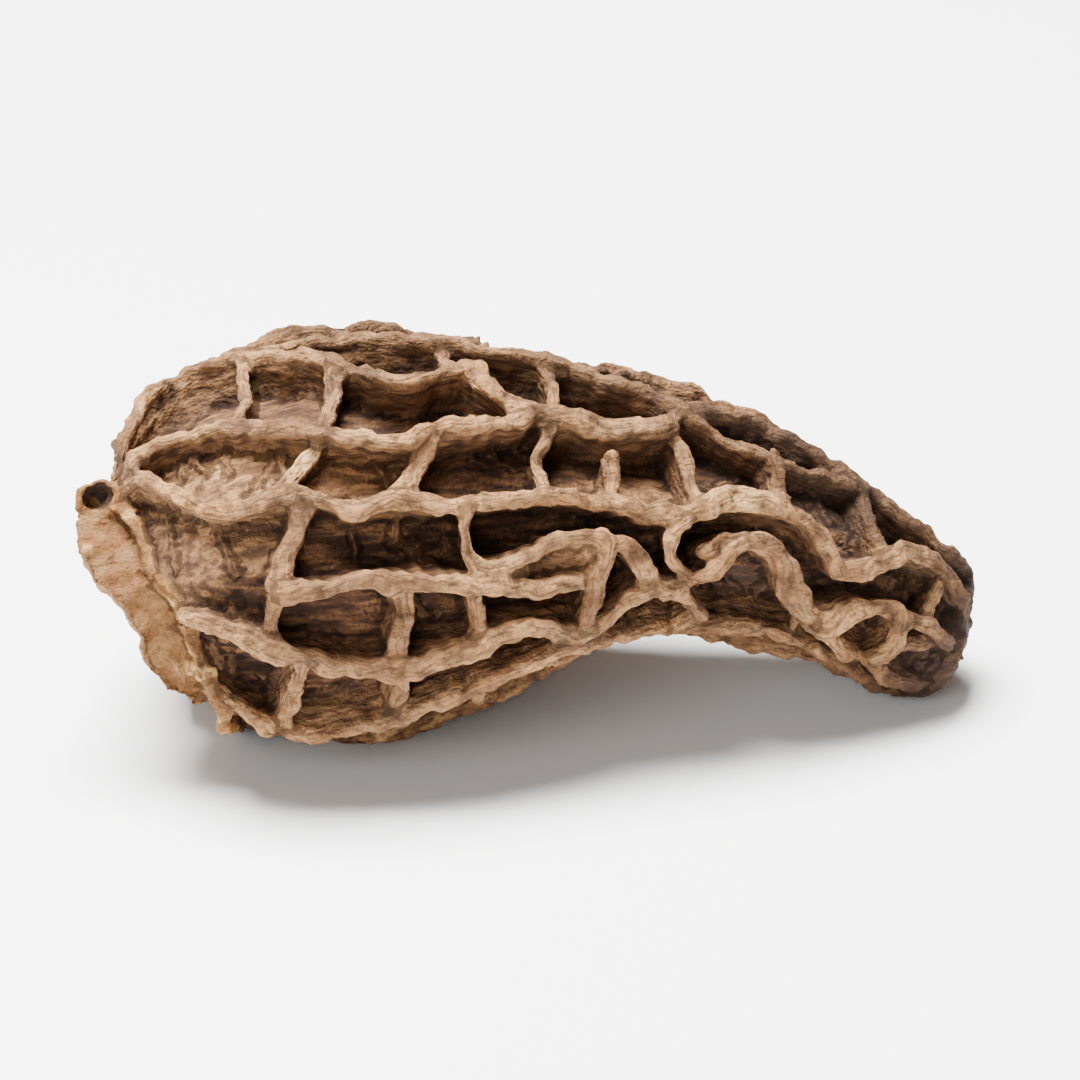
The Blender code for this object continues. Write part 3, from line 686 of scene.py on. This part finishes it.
def core():
    """The floors of the pits, the stub of the stem with its torn cut, and the hollow's wall."""
    rings = []
    marks = []
    angle = np.linspace(0.0, 360.0, CORE_AROUND, endpoint=False)
    for station in np.linspace(LAST_RING, 0.0, CORE_ALONG):
        rings.append(axis_ring(station, "floor", CORE_AROUND))
        marks.append({
            "drop": 1.0,
            "stub": max(0.0, 1.0 - station / FLOOR_STUB_FADE),
            **spots(station, angle),
        })

    def stub_ring(layer, share, grow, lip):
        """A ring of the stub at a share of its length."""
        return axis_ring(0.0, layer, CORE_AROUND, STUB_LENGTH * share, share, STUB_RAGGED * share**2,
                         STUB_TORN * share**4, grow, lip)

    for share in np.linspace(1.0 / STUB_RINGS, 1.0, STUB_RINGS):
        rings.append(stub_ring("floor", share, STUB_GROW * share, RIM_LIP * min(1.0, 2 * share)))
        marks.append({"drop": STUB_DROP, "stub": 1.0})
    inner_rim = stub_ring("hollow", 1.0, MOUTH_FLARE, MOUTH_LIP)
    rings.append(0.5 * (rings[-1] + inner_rim) - np.array((RIM_CROWN, 0.0, 0.0)))
    marks.append({"drop": RIM_DROP, "stub": 1.0})
    for share in np.linspace(1.0, 1.0 / STUB_RINGS, STUB_RINGS):
        rings.append(stub_ring("hollow", share, MOUTH_FLARE, MOUTH_LIP))
        marks.append({"drop": 1.0, "stub": share, "inside": 1.0})
    for station in np.linspace(0.0, LAST_RING, HOLLOW_RINGS):
        near = max(0.0, 1.0 - station / MOUTH_RUN)
        rings.append(axis_ring(station, "hollow", CORE_AROUND, grow=MOUTH_FLARE * near, lip=MOUTH_LIP * near))
        marks.append({"drop": 1.0, "inside": 1.0})
    return loft("core", rings, marks)


def knob():
    """The shrivelled tip, where the net has run together into a lump."""
    rings = []
    angle = np.linspace(0.0, 360.0, KNOB_AROUND, endpoint=False)
    for share in np.linspace(0.0, 1.0, KNOB_RINGS):
        station = np.full(KNOB_AROUND, KNOB_FULL + share * (LAST_RING - KNOB_FULL))
        sunk = KNOB_SUNK + (KNOB_BASE_SUNK - KNOB_SUNK) * (1.0 - share) ** 3
        rings.append(cap_point(station, angle, "crest", sunk=sunk))
    return loft("knob", rings, [{"drop": KNOB_DROP, "knob": 1.0}] * KNOB_RINGS)


def rim_curl():
    """The small dimpled knot at the top of the stub's rim."""
    facing = unit(np.array(CURL_FACING))
    across = unit(np.cross((0.0, 0.0, 1.0), facing))
    up = np.cross(facing, across)
    turn = np.linspace(0.0, math.tau, CURL_AROUND, endpoint=False)
    uneven = np.ones_like(turn)
    for share, number, phase in CURL_DENTS:
        uneven += share * np.sin(number * turn + phase)
    circle = np.cos(turn)[:, None] * across + CURL_FLATTENED * np.sin(turn)[:, None] * up
    rings = []
    marks = []
    for radius, ahead, dimple in CURL_ROWS:
        rings.append(np.array(CURL_PLACE) + facing * ahead + (radius * uneven)[:, None] * circle)
        drop = CURL_DROP + (1.0 - CURL_DROP) * dimple
        # In its dimple the knot takes the pit's paint and painted shade, for the shade in that recess.
        marks.append({"drop": drop, "stub": CURL_STUB * (1.0 - dimple), "dark": dimple})
    return loft("rim_curl", rings, marks)


# Node trees.

class Wiring:
    """Adds nodes to one tree and joins their sockets."""

    def __init__(self, tree):
        self.tree = tree

    def add(self, kind, inputs=None, **settings):
        """A node with its settings made and its inputs, by name or number, set or joined."""
        node = self.tree.nodes.new(kind)
        for name, value in settings.items():
            setattr(node, name, value)
        for name, value in (inputs or {}).items():
            if isinstance(value, bpy.types.NodeSocket):
                self.tree.links.new(value, node.inputs[name])
            else:
                node.inputs[name].default_value = value
        return node

    def out(self, kind, inputs=None, **settings):
        """The first output of such a node."""
        return self.add(kind, inputs, **settings).outputs[0]

    def read(self, name, kind="FLOAT"):
        return self.out("GeometryNodeInputNamedAttribute", {"Name": name}, data_type=kind)

    def keep(self, geometry, name, value):
        """The geometry with the value kept on its points."""
        inputs = {"Geometry": geometry, "Name": name, "Value": value}
        return self.out("GeometryNodeStoreNamedAttribute", inputs, data_type="FLOAT", domain="POINT")

    def math(self, operation, a, b=0.0, clamp=False):
        return self.out("ShaderNodeMath", {0: a, 1: b}, operation=operation, use_clamp=clamp)

    def times(self, first, *others):
        for other in others:
            first = self.math("MULTIPLY", first, other)
        return first

    def plus(self, first, *others):
        for other in others:
            first = self.math("ADD", first, other)
        return first

    def off_half(self, value, by):
        """Noise, which lies round 0.5, moved to lie round 0 and scaled."""
        return self.times(self.math("SUBTRACT", value, 0.5), by)

    def vector(self, operation, a, b=(0.0, 0.0, 0.0)):
        return self.out("ShaderNodeVectorMath", {0: a, 1: b}, operation=operation)

    def scaled(self, vector, by):
        return self.out("ShaderNodeVectorMath", {0: vector, "Scale": by}, operation="SCALE")

    def smooth(self, value, low, high, to_low=0.0, to_high=1.0):
        """Goes smoothly from one value to the other as the input goes from low to high."""
        inputs = {0: value, 1: low, 2: high, 3: to_low, 4: to_high}
        return self.out("ShaderNodeMapRange", inputs, interpolation_type="SMOOTHSTEP")

    def between(self, share, low, high):
        """A number between two, by the share."""
        return self.plus(low, self.times(self.math("SUBTRACT", high, low), share))

    def between_vectors(self, share, low, high):
        return self.vector("ADD", low, self.scaled(self.vector("SUBTRACT", high, low), share))


def new_tree(name, numbers, others=()):
    """A geometry tree with named inputs, given as numbers with their values and (name, kind) of others."""
    tree = bpy.data.node_groups.new(name, "GeometryNodeTree")
    tree.interface.new_socket("Geometry", in_out="OUTPUT", socket_type="NodeSocketGeometry")
    tree.interface.new_socket("Geometry", in_out="INPUT", socket_type="NodeSocketGeometry")
    for label, value in numbers.items():
        kind = "NodeSocketInt" if isinstance(value, int) else "NodeSocketFloat"
        tree.interface.new_socket(label, in_out="INPUT", socket_type=kind).default_value = value
    for label, kind in others:
        tree.interface.new_socket(label, in_out="INPUT", socket_type=kind)
    wiring = Wiring(tree)
    return tree, wiring, wiring.add("NodeGroupInput").outputs


def add_tree(piece, tree, values):
    """Puts the tree on the piece, with its named inputs set."""
    modifier = piece.modifiers.new(tree.name, "NODES")
    modifier.node_group = tree
    for item in tree.interface.items_tree:
        if item.item_type == "SOCKET" and item.in_out == "INPUT" and item.name in values:
            modifier[item.identifier] = values[item.name]


def end_tree(wiring, geometry, material):
    """Every tree ends with its instances made real and its material set."""
    real = wiring.out("GeometryNodeRealizeInstances", {0: geometry})
    painted = wiring.out("GeometryNodeSetMaterial", {"Geometry": real, "Material": material})
    wiring.add("NodeGroupOutput", {0: painted})


def made_plain(piece):
    """The piece as its modifiers leave it, without the modifiers."""
    graph = bpy.context.evaluated_depsgraph_get()
    result = bpy.data.meshes.new_from_object(piece.evaluated_get(graph))
    piece.modifiers.clear()
    piece.data = result
    return piece


def ridge_place(w, read, scale):
    """A place by its run along a ridge, its side and its drop, each scaled, for streaks along the ridge."""
    inputs = {}
    for axis, name, by in zip("XYZ", ("run", "side", "drop"), scale):
        inputs[axis] = w.times(read(name), by)
    return w.out("ShaderNodeCombineXYZ", inputs)


BLADE = {
    "Crest Width": 0.86,
    "Waist Width": 0.54,
    "Root Width": 1.00,
    "Swell": 0.36,
    "Ripple": 0.22,
    "Ripple Length": 1.7,
    "Roll": 0.22,
    "Roll Length": 2.4,
    "Nick": 0.40,
    "Nick Length": 1.6,
    "Profile Points": 24,
    "Seed": 5,
}
PROFILE_SQUARENESS = 0.5
RIDGE_NOISE = 3.2

# A blade narrows from its lip to its waist and widens to its root, between these drops.
LIP_TO_WAIST = (0.05, 0.42)
WAIST_TO_ROOT = (0.5, 1.0)

# How fast each bend of a blade dies out on its way down.
RIPPLE_FADE = 1.4
ROLL_FADE = 7.0
NICK_FADE = 3.0


def ridge_blades():
    """Sweeps a thin blade of flesh under each crest line: lipped, rippled, narrow at its waist."""
    tree, w, given = new_tree("ridge_blades", BLADE, [("Material", "NodeSocketMaterial")])
    line = w.out("GeometryNodeMeshToCurve", {"Mesh": given["Geometry"]})
    circle = w.out("GeometryNodeCurvePrimitiveCircle", {"Resolution": given["Profile Points"], "Radius": 1.0})
    place = w.add("ShaderNodeSeparateXYZ", {0: w.out("GeometryNodeInputPosition")})
    x, y = place.outputs[:2]
    side = w.times(w.math("SIGN", x), w.math("POWER", w.math("ABSOLUTE", x), PROFILE_SQUARENESS))
    fall = w.times(w.math("SUBTRACT", 1.0, y), 0.5)
    profile = w.keep(circle, "side", side)
    profile = w.keep(profile, "drop", fall)
    sweep = {"Curve": line, "Profile Curve": profile, "Fill Caps": True}
    blades = w.out("GeometryNodeCurveToMesh", sweep)

    drop = w.read("drop")
    run = w.read("run")
    vectors = ("crest", "root", "crest_across", "root_across")
    crest, root, crest_across, root_across = (w.read(name, "FLOAT_VECTOR") for name in vectors)
    free = w.math("SUBTRACT", 1.0, drop, clamp=True)

    def wander(length, apart):
        """Smooth noise from -1 to 1 along the ridge. apart sets it off from the others."""
        inputs = {
            "W": w.plus(w.math("DIVIDE", run, length), w.times(given["Seed"], apart)),
            "Scale": 1.0,
            "Detail": 3.0,
            "Roughness": 0.6,
        }
        return w.off_half(w.out("ShaderNodeTexNoise", inputs, noise_dimensions="1D"), RIDGE_NOISE)

    def bend(name, apart, fade):
        """A bend that is full at the crest and dies out on its way down."""
        return w.times(wander(given[name + " Length"], apart), given[name], w.math("POWER", free, fade))

    neck = w.between(w.smooth(drop, *LIP_TO_WAIST), given["Crest Width"], given["Waist Width"])
    width = w.between(w.smooth(drop, *WAIST_TO_ROOT), neck, given["Root Width"])
    swell = w.plus(1.0, w.times(wander(given["Nick Length"], 3.1), given["Swell"]))
    width = w.times(width, swell, w.read("stout"))
    bends = w.plus(bend("Ripple", 7.7, RIPPLE_FADE), bend("Roll", 13.3, ROLL_FADE))
    aside = w.plus(w.times(w.read("side"), width, 0.5), bends)
    across = w.vector("NORMALIZE", w.between_vectors(drop, crest_across, root_across))
    nick = w.math("MAXIMUM", bend("Nick", 21.0, NICK_FADE), 0.0)
    down = w.vector("NORMALIZE", w.vector("SUBTRACT", root, crest))
    middle = w.vector("ADD", w.between_vectors(drop, crest, root), w.scaled(down, nick))
    there = w.vector("ADD", middle, w.scaled(across, aside))
    shaped = w.out("GeometryNodeSetPosition", {"Geometry": blades, "Position": there})
    shaped = w.keep(shaped, "drop", w.math("MAXIMUM", drop, w.read("low")))
    end_tree(w, shaped, given["Material"])
    return tree


SKIN = {
    "Streak Depth": 0.12,
    "Streak Size": 0.9,
    "Flute Depth": 0.05,
    "Flute Length": 0.75,
    "Flute Wander": 0.35,
    "Flute Wander Size": 1.6,
    "Flute Patch Size": 2.2,
    "Lump Depth": 0.20,
    "Lump Size": 1.1,
    "Fibre Depth": 0.12,
    "Fibre Size": 0.55,
    "Fibre Stretch": 0.22,
    "Wrinkle Depth": 0.15,
    "Wrinkle Size": 1.2,
    "Sag": 0.22,
    "Sag Size": 3.2,
    "Crumb Depth": 0.16,
    "Crumb Size": 0.75,
    "Crumb Cracks": 0.8,
    "Crumb Crack Size": 0.6,
    "Meal Depth": 0.07,
    "Meal Size": 0.55,
    "Knob Wrinkle": 0.42,
    "Knob Lump Size": 0.9,
    "Knob Creases": 1.2,
    "Knob Crease Size": 1.1,
    "Seed": 3,
}
SKIN_NOISE = 3.0
CREASE_STEEPNESS = 1.6
WRINKLE_STRETCH = (0.55, 1.0, 1.0)
SKIN_STREAKS = (0.45, 1.5, 4.5)
EDGE_STREAKED = 0.55
FLUTE_PATCHES = (-0.4, 0.6, 0.2, 1.0)
RELIEF_MARK = 3.0

# Drops between which each zone of a ridge comes in or goes out.
EDGE_IN = (0.30, 0.05)
FLANK_IN = (0.08, 0.3)
FLANK_OUT = (1.0, 0.85)
FLOOR_IN = (0.4, 0.85)


def dried_skin():
    """Wrinkles the flesh: streaks along the ridges, fibres and creases on the floors, a crumbly stub."""
    others = [("Net", "NodeSocketObject"), ("Material", "NodeSocketMaterial")]
    tree, w, given = new_tree("dried_skin", SKIN, others)
    info = w.add("GeometryNodeObjectInfo", {"Object": given["Net"]}, transform_space="ORIGINAL")
    position = w.out("GeometryNodeInputPosition")
    geometry = given["Geometry"]
    for name in ("drop", "run", "side", "stub", "inside", "knob", "pale", "dark"):
        inputs = {"Mesh": info.outputs["Geometry"], "Value": w.read(name)}
        nearest = w.out("GeometryNodeSampleNearestSurface", inputs, data_type="FLOAT")
        geometry = w.keep(geometry, name, nearest)
    drop = w.read("drop")
    inside = w.read("inside")

    def noise(vector, size, apart, detail=2.0, distortion=0.0):
        """Noise from about -1 to 1 with features of the size. apart sets it off from the others."""
        inputs = {
            "Vector": vector,
            "W": w.times(given["Seed"], apart),
            "Scale": w.math("DIVIDE", 1.0, size),
            "Detail": detail,
            "Distortion": distortion,
        }
        return w.off_half(w.out("ShaderNodeTexNoise", inputs, noise_dimensions="4D"), SKIN_NOISE)

    def creases(vector, size, apart):
        """Narrow creases between rounded swellings, from -1 in a crease to 0."""
        rise = w.times(w.math("ABSOLUTE", noise(vector, size, apart, 1.5, 0.5)), CREASE_STEEPNESS)
        return w.math("SUBTRACT", w.math("MINIMUM", rise, 1.0), 1.0)

    edge = w.smooth(drop, *EDGE_IN)
    flank = w.times(w.smooth(drop, *FLANK_IN), w.smooth(drop, *FLANK_OUT))
    outside = w.math("SUBTRACT", 1.0, inside)
    floor = w.times(w.smooth(drop, *FLOOR_IN), outside)

    streaks = creases(ridge_place(w, w.read, SKIN_STREAKS), given["Streak Size"], 2.9)
    on_ridge = w.plus(w.times(edge, EDGE_STREAKED), flank)
    streaked = w.times(streaks, given["Streak Depth"], on_ridge)
    wander = w.times(noise(position, given["Flute Wander Size"], 2.3), given["Flute Wander"])
    flute_run = w.plus(w.math("DIVIDE", w.read("run"), given["Flute Length"]), wander)
    flutes = w.math("SINE", w.times(flute_run, math.tau))
    patchy = w.smooth(noise(position, given["Flute Patch Size"], 4.9), *FLUTE_PATCHES)
    fluted = w.times(flutes, given["Flute Depth"], w.times(flank, patchy))

    stretch = w.out("ShaderNodeCombineXYZ", {"X": given["Fibre Stretch"], "Y": 1.0, "Z": 1.0})
    fibres = noise(w.vector("MULTIPLY", position, stretch), given["Fibre Size"], 7.4, 2.0, 0.4)
    wrinkles = creases(w.vector("MULTIPLY", position, WRINKLE_STRETCH), given["Wrinkle Size"], 6.1)
    sag = noise(position, given["Sag Size"], 1.3, 1.0)
    lined = w.plus(w.times(fibres, given["Fibre Depth"]), w.times(wrinkles, given["Wrinkle Depth"]))
    lined = w.times(w.plus(lined, w.times(sag, given["Sag"])), floor)

    cracks = w.times(creases(position, given["Crumb Crack Size"], 3.3), given["Crumb Cracks"])
    crumbs = w.plus(noise(position, given["Crumb Size"], 5.6, 3.0), cracks)
    crumbly = w.times(crumbs, given["Crumb Depth"], w.times(w.read("stub"), outside))
    mealy = w.times(noise(position, given["Meal Size"], 5.2), given["Meal Depth"], inside)

    knob_creases = w.times(creases(position, given["Knob Crease Size"], 1.7), given["Knob Creases"])
    lumpy = w.plus(noise(position, given["Knob Lump Size"], 8.8, 2.0), knob_creases)
    lumpy = w.times(lumpy, given["Knob Wrinkle"], w.read("knob"))
    crumpled = w.times(noise(position, given["Lump Size"], 9.9, 3.0, 0.8), given["Lump Depth"])
    lumpy = w.plus(lumpy, w.times(crumpled, edge))

    relief = w.plus(w.plus(streaked, fluted), w.plus(lined, w.plus(crumbly, w.plus(mealy, lumpy))))
    geometry = w.keep(geometry, "relief", w.times(relief, RELIEF_MARK))
    offset = w.scaled(w.out("GeometryNodeInputNormal"), relief)
    moved = w.out("GeometryNodeSetPosition", {"Geometry": geometry, "Offset": offset})
    end_tree(w, moved, given["Material"])
    return tree


# Materials.

def colour(red, green, blue):
    """A colour given as it looks on screen, from 0 to 255."""
    linear = [((c / 255 + 0.055) / 1.055) ** 2.4 if c > 10 else c / 255 / 12.92 for c in (red, green, blue)]
    return (*linear, 1.0)


def new_material(name):
    material = bpy.data.materials.new(name)
    material.use_nodes = True
    return material, material.node_tree.nodes["Principled BSDF"].inputs


def mixed(w, share, first, second):
    """The first colour with the second over it, by the share."""
    inputs = {0: share, 6: first, 7: second}
    return w.add("ShaderNodeMix", inputs, data_type="RGBA", clamp_factor=True).outputs[2]


# Clouds of noise in the flesh: size in millimetres, and where they aren't the usual, detail and distortion.
CLOUDS = {
    "broad": (5.0,),
    "blotches": (2.6,),
    "patches": (1.7,),
    "knobbles": (0.9,),
    "rim_clouds": (0.8,),
    "hollow_clouds": (0.5,),
    "curd": (0.45, 3.0, 0.8),
    "fine": (0.35, 4.0),
    "specks": (0.16, 2.0),
    "grit": (0.14,),
}
FIBRE_CLOUD = (0.30, 3.0)
FIBRE_CLOUD_STRETCH = (0.18, 1.0, 1.0)
STREAK_CLOUD = (1 / 2.4, 3.0)
STREAK_CLOUD_SCALE = (0.5, 1.6, 5.0)

# Each paint is its first colour and the layers over it. A layer is its colour, the pattern it follows, where
# on that pattern it starts and is full, and its strength.
PAINTS = {
    "pit": (
        (60, 40, 28),
        ((82, 54, 35), "broad", 0.40, 0.62, 1.0),
        ((116, 81, 52), "fibres", 0.50, 0.62, 0.65),
        ((38, 25, 19), "fibres", 0.50, 0.38, 0.75),
        ((34, 22, 16), "specks", 0.52, 0.66, 0.5),
    ),
    "pale_pit": (
        (104, 72, 48),
        ((164, 122, 82), "fibres", 0.36, 0.64, 1.0),
        ((74, 50, 34), "specks", 0.52, 0.66, 0.5),
    ),
    "flank": ((82, 56, 38), ((134, 97, 64), "streaks", 0.36, 0.62, 1.0)),
    "crest": (
        (160, 119, 79),
        ((118, 83, 53), "patches", 0.40, 0.64, 1.0),
        ((168, 116, 64), "blotches", 0.54, 0.68, 0.5),
        ((104, 76, 54), "broad", 0.48, 0.66, 0.55),
        ((200, 156, 106), "pale", 0.55, 0.95, 0.85),
        ((88, 60, 41), "streaks", 0.52, 0.36, 0.75),
        ((82, 56, 38), "fine", 0.50, 0.66, 0.6),
        ((72, 49, 34), "specks", 0.54, 0.70, 0.5),
    ),
    "knob": ((38, 26, 20), ((116, 83, 57), "knobbles", 0.44, 0.58, 1.0)),
    "rim": (
        (176, 136, 84),
        ((146, 100, 52), "rim_clouds", 0.40, 0.62, 1.0),
        ((104, 70, 40), "specks", 0.50, 0.66, 0.5),
        # Painted shade in the rim's cracks, where the relief is low.
        ((80, 50, 31), "relief", 0.10, -0.50, 0.75),
    ),
    "hollow": ((160, 124, 84), ((112, 76, 48), "hollow_clouds", 0.40, 0.65, 1.0)),
    # Colour of the painted shade in creases.
    "crease_shade": ((32, 21, 15),),
    # Colour of the darker spots, partly darker flesh and partly painted shade, and of the curl's painted
    # shade.
    "dark": ((42, 29, 23),),
}

# Drops between which one paint gives way to the next, and how far the patches push them about. The
# deeper paints are darker, partly the flesh's own colour and partly painted shade of the pits.
CREST_TO_FLANK = (0.10, 0.30)
FLANK_TO_PIT = (0.34, 0.80)
DROP_UNEVENNESS = 0.22
STUB_TO_RIM = (0.25, 0.75)
STUB_UNEVENNESS = 0.8

# Painted shade darkens the creases between these reliefs, more above the first of these drops than
# below the second.
CREASE_SHADE_RELIEF = (-0.05, -0.45)
CREASE_SHADE_DROP = (0.42, 0.58, 0.65, 0.32)
COVER = 0.85

SPECULAR = 0.15
ROUGHNESS = (0.7, 0.95)
BUMP_PARTS = (("grit", 0.5), ("curd", 0.7), ("streaks", 0.7), ("fibres", 0.7))
BUMP_STRENGTH = 0.9
BUMP_HEIGHT = 0.0002


def dried_flesh():
    """Tan crests, brown flanks and dark brown pits, the pits' darkness partly painted shade, mottled, with a
    pale orange stub and a paler hollow.
    """
    material, shader = new_material("dried_flesh")
    w = Wiring(material.node_tree)
    coordinates = w.add("ShaderNodeTexCoord").outputs["Object"]
    in_mm = w.out("ShaderNodeMapping", {"Vector": coordinates, "Scale": (1 / MM, 1 / MM, 1 / MM)})
    lengthwise = w.out("ShaderNodeMapping", {"Vector": in_mm, "Scale": FIBRE_CLOUD_STRETCH})

    def painted(name):
        return w.add("ShaderNodeAttribute", attribute_name=name).outputs["Fac"]

    def cloud(vector, size, detail=3.0, distortion=0.0):
        inputs = {"Vector": vector, "Scale": 1.0 / size, "Detail": detail, "Distortion": distortion}
        return w.out("ShaderNodeTexNoise", inputs)

    patterns = {name: cloud(in_mm, *numbers) for name, numbers in CLOUDS.items()}
    patterns["fibres"] = cloud(lengthwise, *FIBRE_CLOUD)
    patterns["streaks"] = cloud(ridge_place(w, painted, STREAK_CLOUD_SCALE), *STREAK_CLOUD)
    patterns["pale"] = painted("pale")
    patterns["relief"] = painted("relief")

    def paint(kind):
        first, *layers = PAINTS[kind]
        coat = colour(*first)
        for over, pattern, start, full, strength in layers:
            coat = mixed(w, w.smooth(patterns[pattern], start, full, 0.0, strength), coat, colour(*over))
        return coat

    drop = painted("drop")
    uneven = w.plus(drop, w.off_half(patterns["patches"], DROP_UNEVENNESS))
    pit = mixed(w, patterns["pale"], paint("pit"), paint("pale_pit"))
    skin = mixed(w, w.smooth(uneven, *CREST_TO_FLANK), paint("crest"), paint("flank"))
    skin = mixed(w, w.smooth(uneven, *FLANK_TO_PIT), skin, pit)
    # Painted shade in the skin's creases, stronger on the ridges than in the pits.
    shading = w.times(w.smooth(patterns["relief"], *CREASE_SHADE_RELIEF), w.smooth(drop, *CREASE_SHADE_DROP))
    skin = mixed(w, shading, skin, paint("crease_shade"))
    # Darker spots, partly darker flesh and partly painted shade, and painted shade in the curl's dimple.
    skin = mixed(w, w.times(painted("dark"), COVER), skin, paint("dark"))
    skin = mixed(w, w.times(painted("knob"), COVER), skin, paint("knob"))
    stubby = w.plus(painted("stub"), w.off_half(patterns["patches"], STUB_UNEVENNESS))
    skin = mixed(w, w.smooth(stubby, *STUB_TO_RIM), skin, paint("rim"))
    skin = mixed(w, painted("inside"), skin, paint("hollow"))
    w.tree.links.new(skin, shader["Base Color"])

    rough = w.smooth(patterns["fine"], 0.3, 0.7, *ROUGHNESS)
    w.tree.links.new(rough, shader["Roughness"])
    shader["Specular IOR Level"].default_value = SPECULAR
    grain = w.plus(*(w.times(patterns[name], share) for name, share in BUMP_PARTS))
    bumps = {"Height": grain, "Strength": BUMP_STRENGTH, "Distance": BUMP_HEIGHT}
    w.tree.links.new(w.out("ShaderNodeBump", bumps), shader["Normal"])
    return material


def paper_floor():
    material, shader = new_material("pale_floor")
    shader["Base Color"].default_value = FLOOR_COLOUR
    shader["Roughness"].default_value = FLOOR_ROUGHNESS
    return material


# Building.

def net_object(material):
    """The net of blades with the core, the knob and the rim's curl, still as separate overlapping bodies."""
    lines = NetLines()
    for name, points in SHOWN_RIDGES.items():
        long_line(lines, points, STOUT.get(name, USUAL_STOUT))
    for index, points in enumerate(SHOWN_CROSSINGS):
        cross_line(lines, points, STOUT_CROSSINGS.get(index, CROSS_STOUT))
    hidden_net(lines)
    margin_line(lines)
    floor_folds(lines)
    net = lines.object("net")
    add_tree(net, ridge_blades(), {**BLADE, "Material": material})
    made_plain(net)
    mesh = bmesh.new()
    mesh.from_mesh(net.data)
    for piece in (core(), knob(), rim_curl()):
        mesh.from_mesh(piece.data)
        bpy.data.objects.remove(piece)
    mesh.to_mesh(net.data)
    mesh.free()
    return net


def drop_scraps(piece):
    """Keeps the biggest connected body of the mesh, without the tiny bubbles left inside it."""
    mesh = bmesh.new()
    mesh.from_mesh(piece.data)
    unseen = set(mesh.verts)
    bodies = []
    while unseen:
        body = [unseen.pop()]
        for vertex in body:
            for side in vertex.link_edges:
                beside = side.other_vert(vertex)
                if beside in unseen:
                    unseen.remove(beside)
                    body.append(beside)
        bodies.append(body)
    bodies.sort(key=len)
    scraps = [vertex for body in bodies[:-1] for vertex in body]
    bmesh.ops.delete(mesh, geom=scraps, context="VERTS")
    mesh.to_mesh(piece.data)
    mesh.free()


def joined_flesh(net, material):
    """One skin round the whole net, wrinkled, and thinned to the wanted number of triangles."""
    flesh = placed("morel_flesh", net.data.copy())
    remesh = flesh.modifiers.new("one_skin", "REMESH")
    remesh.mode = "VOXEL"
    remesh.voxel_size = VOXEL
    remesh.use_smooth_shade = True
    add_tree(flesh, dried_skin(), {**SKIN, "Net": net, "Material": material})
    made_plain(flesh)
    triangles = sum(len(face.vertices) - 2 for face in flesh.data.polygons)
    thin = flesh.modifiers.new("thin_out", "DECIMATE")
    thin.ratio = min(1.0, TRIANGLES / triangles)
    made_plain(flesh)
    drop_scraps(flesh)
    return flesh


def put_in_frame(flesh):
    """Moves the draft into the model's frame, in metres, pressed flat where it rests and inside its box."""
    places = np.empty(len(flesh.data.vertices) * 3, np.float32)
    flesh.data.vertices.foreach_get("co", places)
    places = (places.reshape(-1, 3) - np.array(DRAFT_ORIGIN)) * MM
    low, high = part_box("morel")
    places = np.clip(places, np.array(low), np.array(high))
    flesh.data.vertices.foreach_set("co", places.astype(np.float32).ravel())
    flesh.data.update()
    flesh.data.shade_smooth()


def studio():
    """A pale floor, soft lights from above and behind, and the camera at the photograph's angle."""
    mesh = bpy.data.meshes.new("floor")
    mesh.from_pydata([(-1, -1, 0), (1, -1, 0), (1, 1, 0), (-1, 1, 0)], [], [(0, 1, 2, 3)])
    mesh.materials.append(paper_floor())
    floor = placed("floor", mesh)

    world = bpy.data.worlds.new("studio")
    world.use_nodes = True
    surround = world.node_tree.nodes["Background"].inputs
    surround["Color"].default_value = (1.0, 1.0, 1.0, 1.0)
    surround["Strength"].default_value = SURROUND_STRENGTH
    bpy.context.scene.world = world

    for name, place, size, power in LIGHTS:
        light = bpy.data.lights.new(name, "AREA")
        light.size = size
        light.energy = power
        lamp = placed(name, light)
        lamp.location = place
        lamp.rotation_euler = Vector(place).to_track_quat("Z", "Y").to_euler()

    azimuth = math.radians(CAMERA_AZIMUTH)
    elevation = math.radians(CAMERA_ELEVATION)
    level = math.cos(elevation)
    right = Vector((math.cos(azimuth), math.sin(azimuth), 0.0))
    back = Vector((math.sin(azimuth) * level, -math.cos(azimuth) * level, math.sin(elevation)))
    lens = bpy.data.cameras.new("camera")
    lens.lens = CAMERA_LENS
    lens.clip_start, lens.clip_end = CAMERA_CLIP
    camera = placed("camera", lens)
    turned = Matrix((right, back.cross(right), back)).transposed().to_4x4()
    camera.matrix_world = Matrix.Translation(Vector(CAMERA_AIM) + back * CAMERA_DISTANCE) @ turned
    bpy.context.scene.camera = camera


def main():
    material = dried_flesh()
    net = net_object(material)
    flesh = joined_flesh(net, material)
    bpy.data.objects.remove(net)
    put_in_frame(flesh)
    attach(flesh, "root")
    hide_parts("morel")
    studio()


main()
